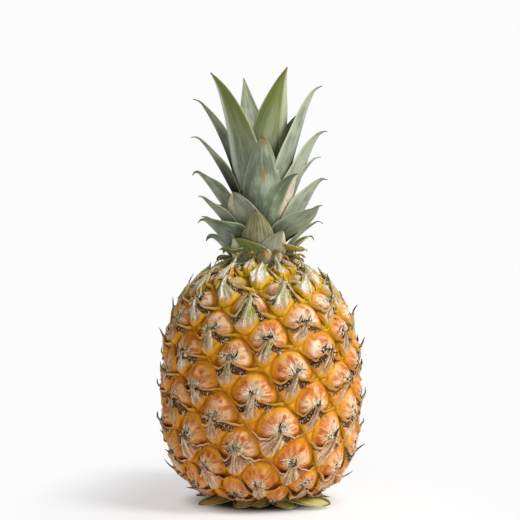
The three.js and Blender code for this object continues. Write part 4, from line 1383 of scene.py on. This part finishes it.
def baseFinish():
    c = paints(baseColours)
    f = Finish("baseBractSkin", Roughness=0.5)
    e, t, _ = f.layer("basePlace")
    lot = f.layer("baseTone")[0]
    cloud = f.noise(7, 3)
    fine = f.noise(1.6, 3)
    lines = f.noise(1.0, 3, f.vector(e * 9, t * 2, lot * 40))
    inner = f.blend(cloud.smooth(0.3, 0.7), c.inner, c.innerDeep)
    outer = f.blend(cloud.smooth(0.3, 0.7), c.outer, c.outerDeep)
    border = abs(e).math("MAXIMUM", t ** 5)
    colour = f.blend((border + (fine - 0.5) * 0.2).smooth(0.6, 0.8), inner, outer)
    colour = f.blend(border.smooth(0.9, 0.96), colour, c.rim)
    colour = f.blend(lines.smooth(0.5, 0.75) * 0.35, colour, c.thread)
    return f.done(Base_Color=colour, Normal=f.bump(lines + fine * 0.4, 0.25, 0.6))


def makeCutStem(finish):
    low, top, height = stem["cutRadius"], stem["topRadius"], stem["height"]
    profile = [(0.4, 0.0), (4, 0.0), (8, 0.0), (low - 1.2, 0.0), (low - 0.4, 0.3), (low, 1), (low + 0.8, 3.4),
               (top, height - 1), (top, height), (6, height), (0.4, height)]
    points = turnedPoints(profile, stem["sides"], stem["unevenSeed"], stem["uneven"])
    piece = makePiece("cutStem", points, tubeFaces(len(profile), stem["sides"]), finish)
    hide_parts("stem")
    return piece


# The pieces, from the rind to the cut stem.
rind = makeRind(rindFinish())
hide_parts("fruit")
bractMaterial = bractFinish()
for band, eyes in bractShape["bands"].items():
    makeBracts(band, eyes, bractMaterial)
makeSpines(spineFinish())
makeFlowers(flowerFinish())
makeCrownLeaves(leafFinish())
makeNeck(scrapFinish())
makeCrownStem(fibreFinish("crownStemFibre"))
makeBaseBracts(baseFinish())
makeCutStem(fibreFinish("cutStemFibre"))

# The studio. Its lengths are in metres.
studio = {
    "aim": (-0.0006, 0, 0.1375), "distance": 0.520, "elevation": -4.5, "lens": 61.64, "sensor": 36,
    "floorRadius": 4.0, "floorSides": 96, "white": (1, 1, 1, 1), "backdrop": 0.972,
    # painted contact shadow: close round the fruit's foot the paper is darker and does not glow
    "paperShadow": (0.24, 0.22, 0.2, 1), "paperFar": (0.56, 0.56, 0.565, 1), "paperShadowFade": (0.018, 0.038),
    "glowShadow": (0, 0, 0, 1), "glowFar": (0.5, 0.497, 0.502, 1), "glowShadowFade": (0.026, 0.05),
    "edgeFade": (0.06, 0.15), "edgeOval": 0.36,  # where the floor turns into the backdrop
    "ambientLeft": 0.13, "ambientRight": 0.56, "ambientSpan": 0.8,
    "keyPlace": (0.85, -0.5, 0.92), "keyAim": (0, 0, 0.1), "keySize": 0.4, "keyPower": 13,
}


def makeCamera():
    data = bpy.data.cameras.new("studioCamera")
    data.lens = studio["lens"]
    data.sensor_width = studio["sensor"]
    data.sensor_fit = "HORIZONTAL"
    camera = bpy.data.objects.new("studioCamera", data)
    tilt = math.radians(studio["elevation"])
    away = Vector((0, -math.cos(tilt), math.sin(tilt))) * studio["distance"]
    camera.location = Vector(studio["aim"]) + away
    camera.rotation_euler = (-away).to_track_quat("-Z", "Y").to_euler()
    bpy.context.scene.collection.objects.link(camera)
    bpy.context.scene.camera = camera


def floorFinish():
    f = Finish("floorPaper", Roughness=0.9, Specular_IOR_Level=0.1, Emission_Strength=1)
    x, y, _ = f.place.parts()
    far = (x * x + y * y) ** 0.5
    # painted contact shadow near the fruit: darker paper and no glow there
    f.set(Base_Color=f.blend(far.smooth(*studio["paperShadowFade"]), studio["paperShadow"], studio["paperFar"]),
          Emission_Color=f.blend(far.smooth(*studio["glowShadowFade"]), studio["glowShadow"], studio["glowFar"]))
    glow = f.node("ShaderNodeEmission", {}, {"Color": studio["white"], "Strength": studio["backdrop"]})
    away = (x * x + y * y * studio["edgeOval"]) ** 0.5
    sockets = {0: away.smooth(*studio["edgeFade"]), 1: Wire(f, f.shader.outputs[0]), 2: glow}
    both = f.node("ShaderNodeMixShader", {}, sockets)
    f.feed(f.tree.nodes["Material Output"].inputs["Surface"], both)
    return f.material


def makeFloor():
    radius, sides = studio["floorRadius"], studio["floorSides"]
    turns = np.arange(sides) * 2 * np.pi / sides
    points = [(radius * math.cos(turn), radius * math.sin(turn), 0) for turn in turns]
    mesh = bpy.data.meshes.new("floor")
    mesh.from_pydata(points, [], [list(range(sides))])
    mesh.materials.append(floorFinish())
    floor = bpy.data.objects.new("floor", mesh)
    bpy.context.scene.collection.objects.link(floor)


def makeRoom():  # white to look at, and dimmer as a light, mostly on the left
    world = bpy.data.worlds.new("whiteRoom")
    bpy.context.scene.world = world
    world.use_nodes = True
    room = Nodes(world.node_tree)
    room.tree.nodes.clear()
    x = room.node("ShaderNodeTexCoord", output="Generated").parts()[0]
    span = studio["ambientSpan"]
    sockets = {0: x, 1: -span, 2: span, 3: studio["ambientLeft"], 4: studio["ambientRight"]}
    shade = room.node("ShaderNodeMapRange", {}, sockets)
    light = room.node("ShaderNodeBackground", {}, {"Color": studio["white"], "Strength": shade})
    sockets = {"Color": studio["white"], "Strength": studio["backdrop"]}
    seen = room.node("ShaderNodeBackground", {}, sockets)
    straight = room.node("ShaderNodeLightPath", output="Is Camera Ray")
    both = room.node("ShaderNodeMixShader", {}, {0: straight, 1: light, 2: seen})
    room.node("ShaderNodeOutputWorld", {}, {"Surface": both})


def makeKeyLight():
    data = bpy.data.lights.new("keyLight", "AREA")
    data.energy = studio["keyPower"]
    data.size = studio["keySize"]
    key = bpy.data.objects.new("keyLight", data)
    key.location = studio["keyPlace"]
    key.rotation_euler = (Vector(studio["keyAim"]) - key.location).to_track_quat("-Z", "Y").to_euler()
    bpy.context.scene.collection.objects.link(key)


makeCamera()
makeFloor()
makeRoom()
makeKeyLight()
bpy.context.scene.view_settings.view_transform = "Standard"
print("studio ready")
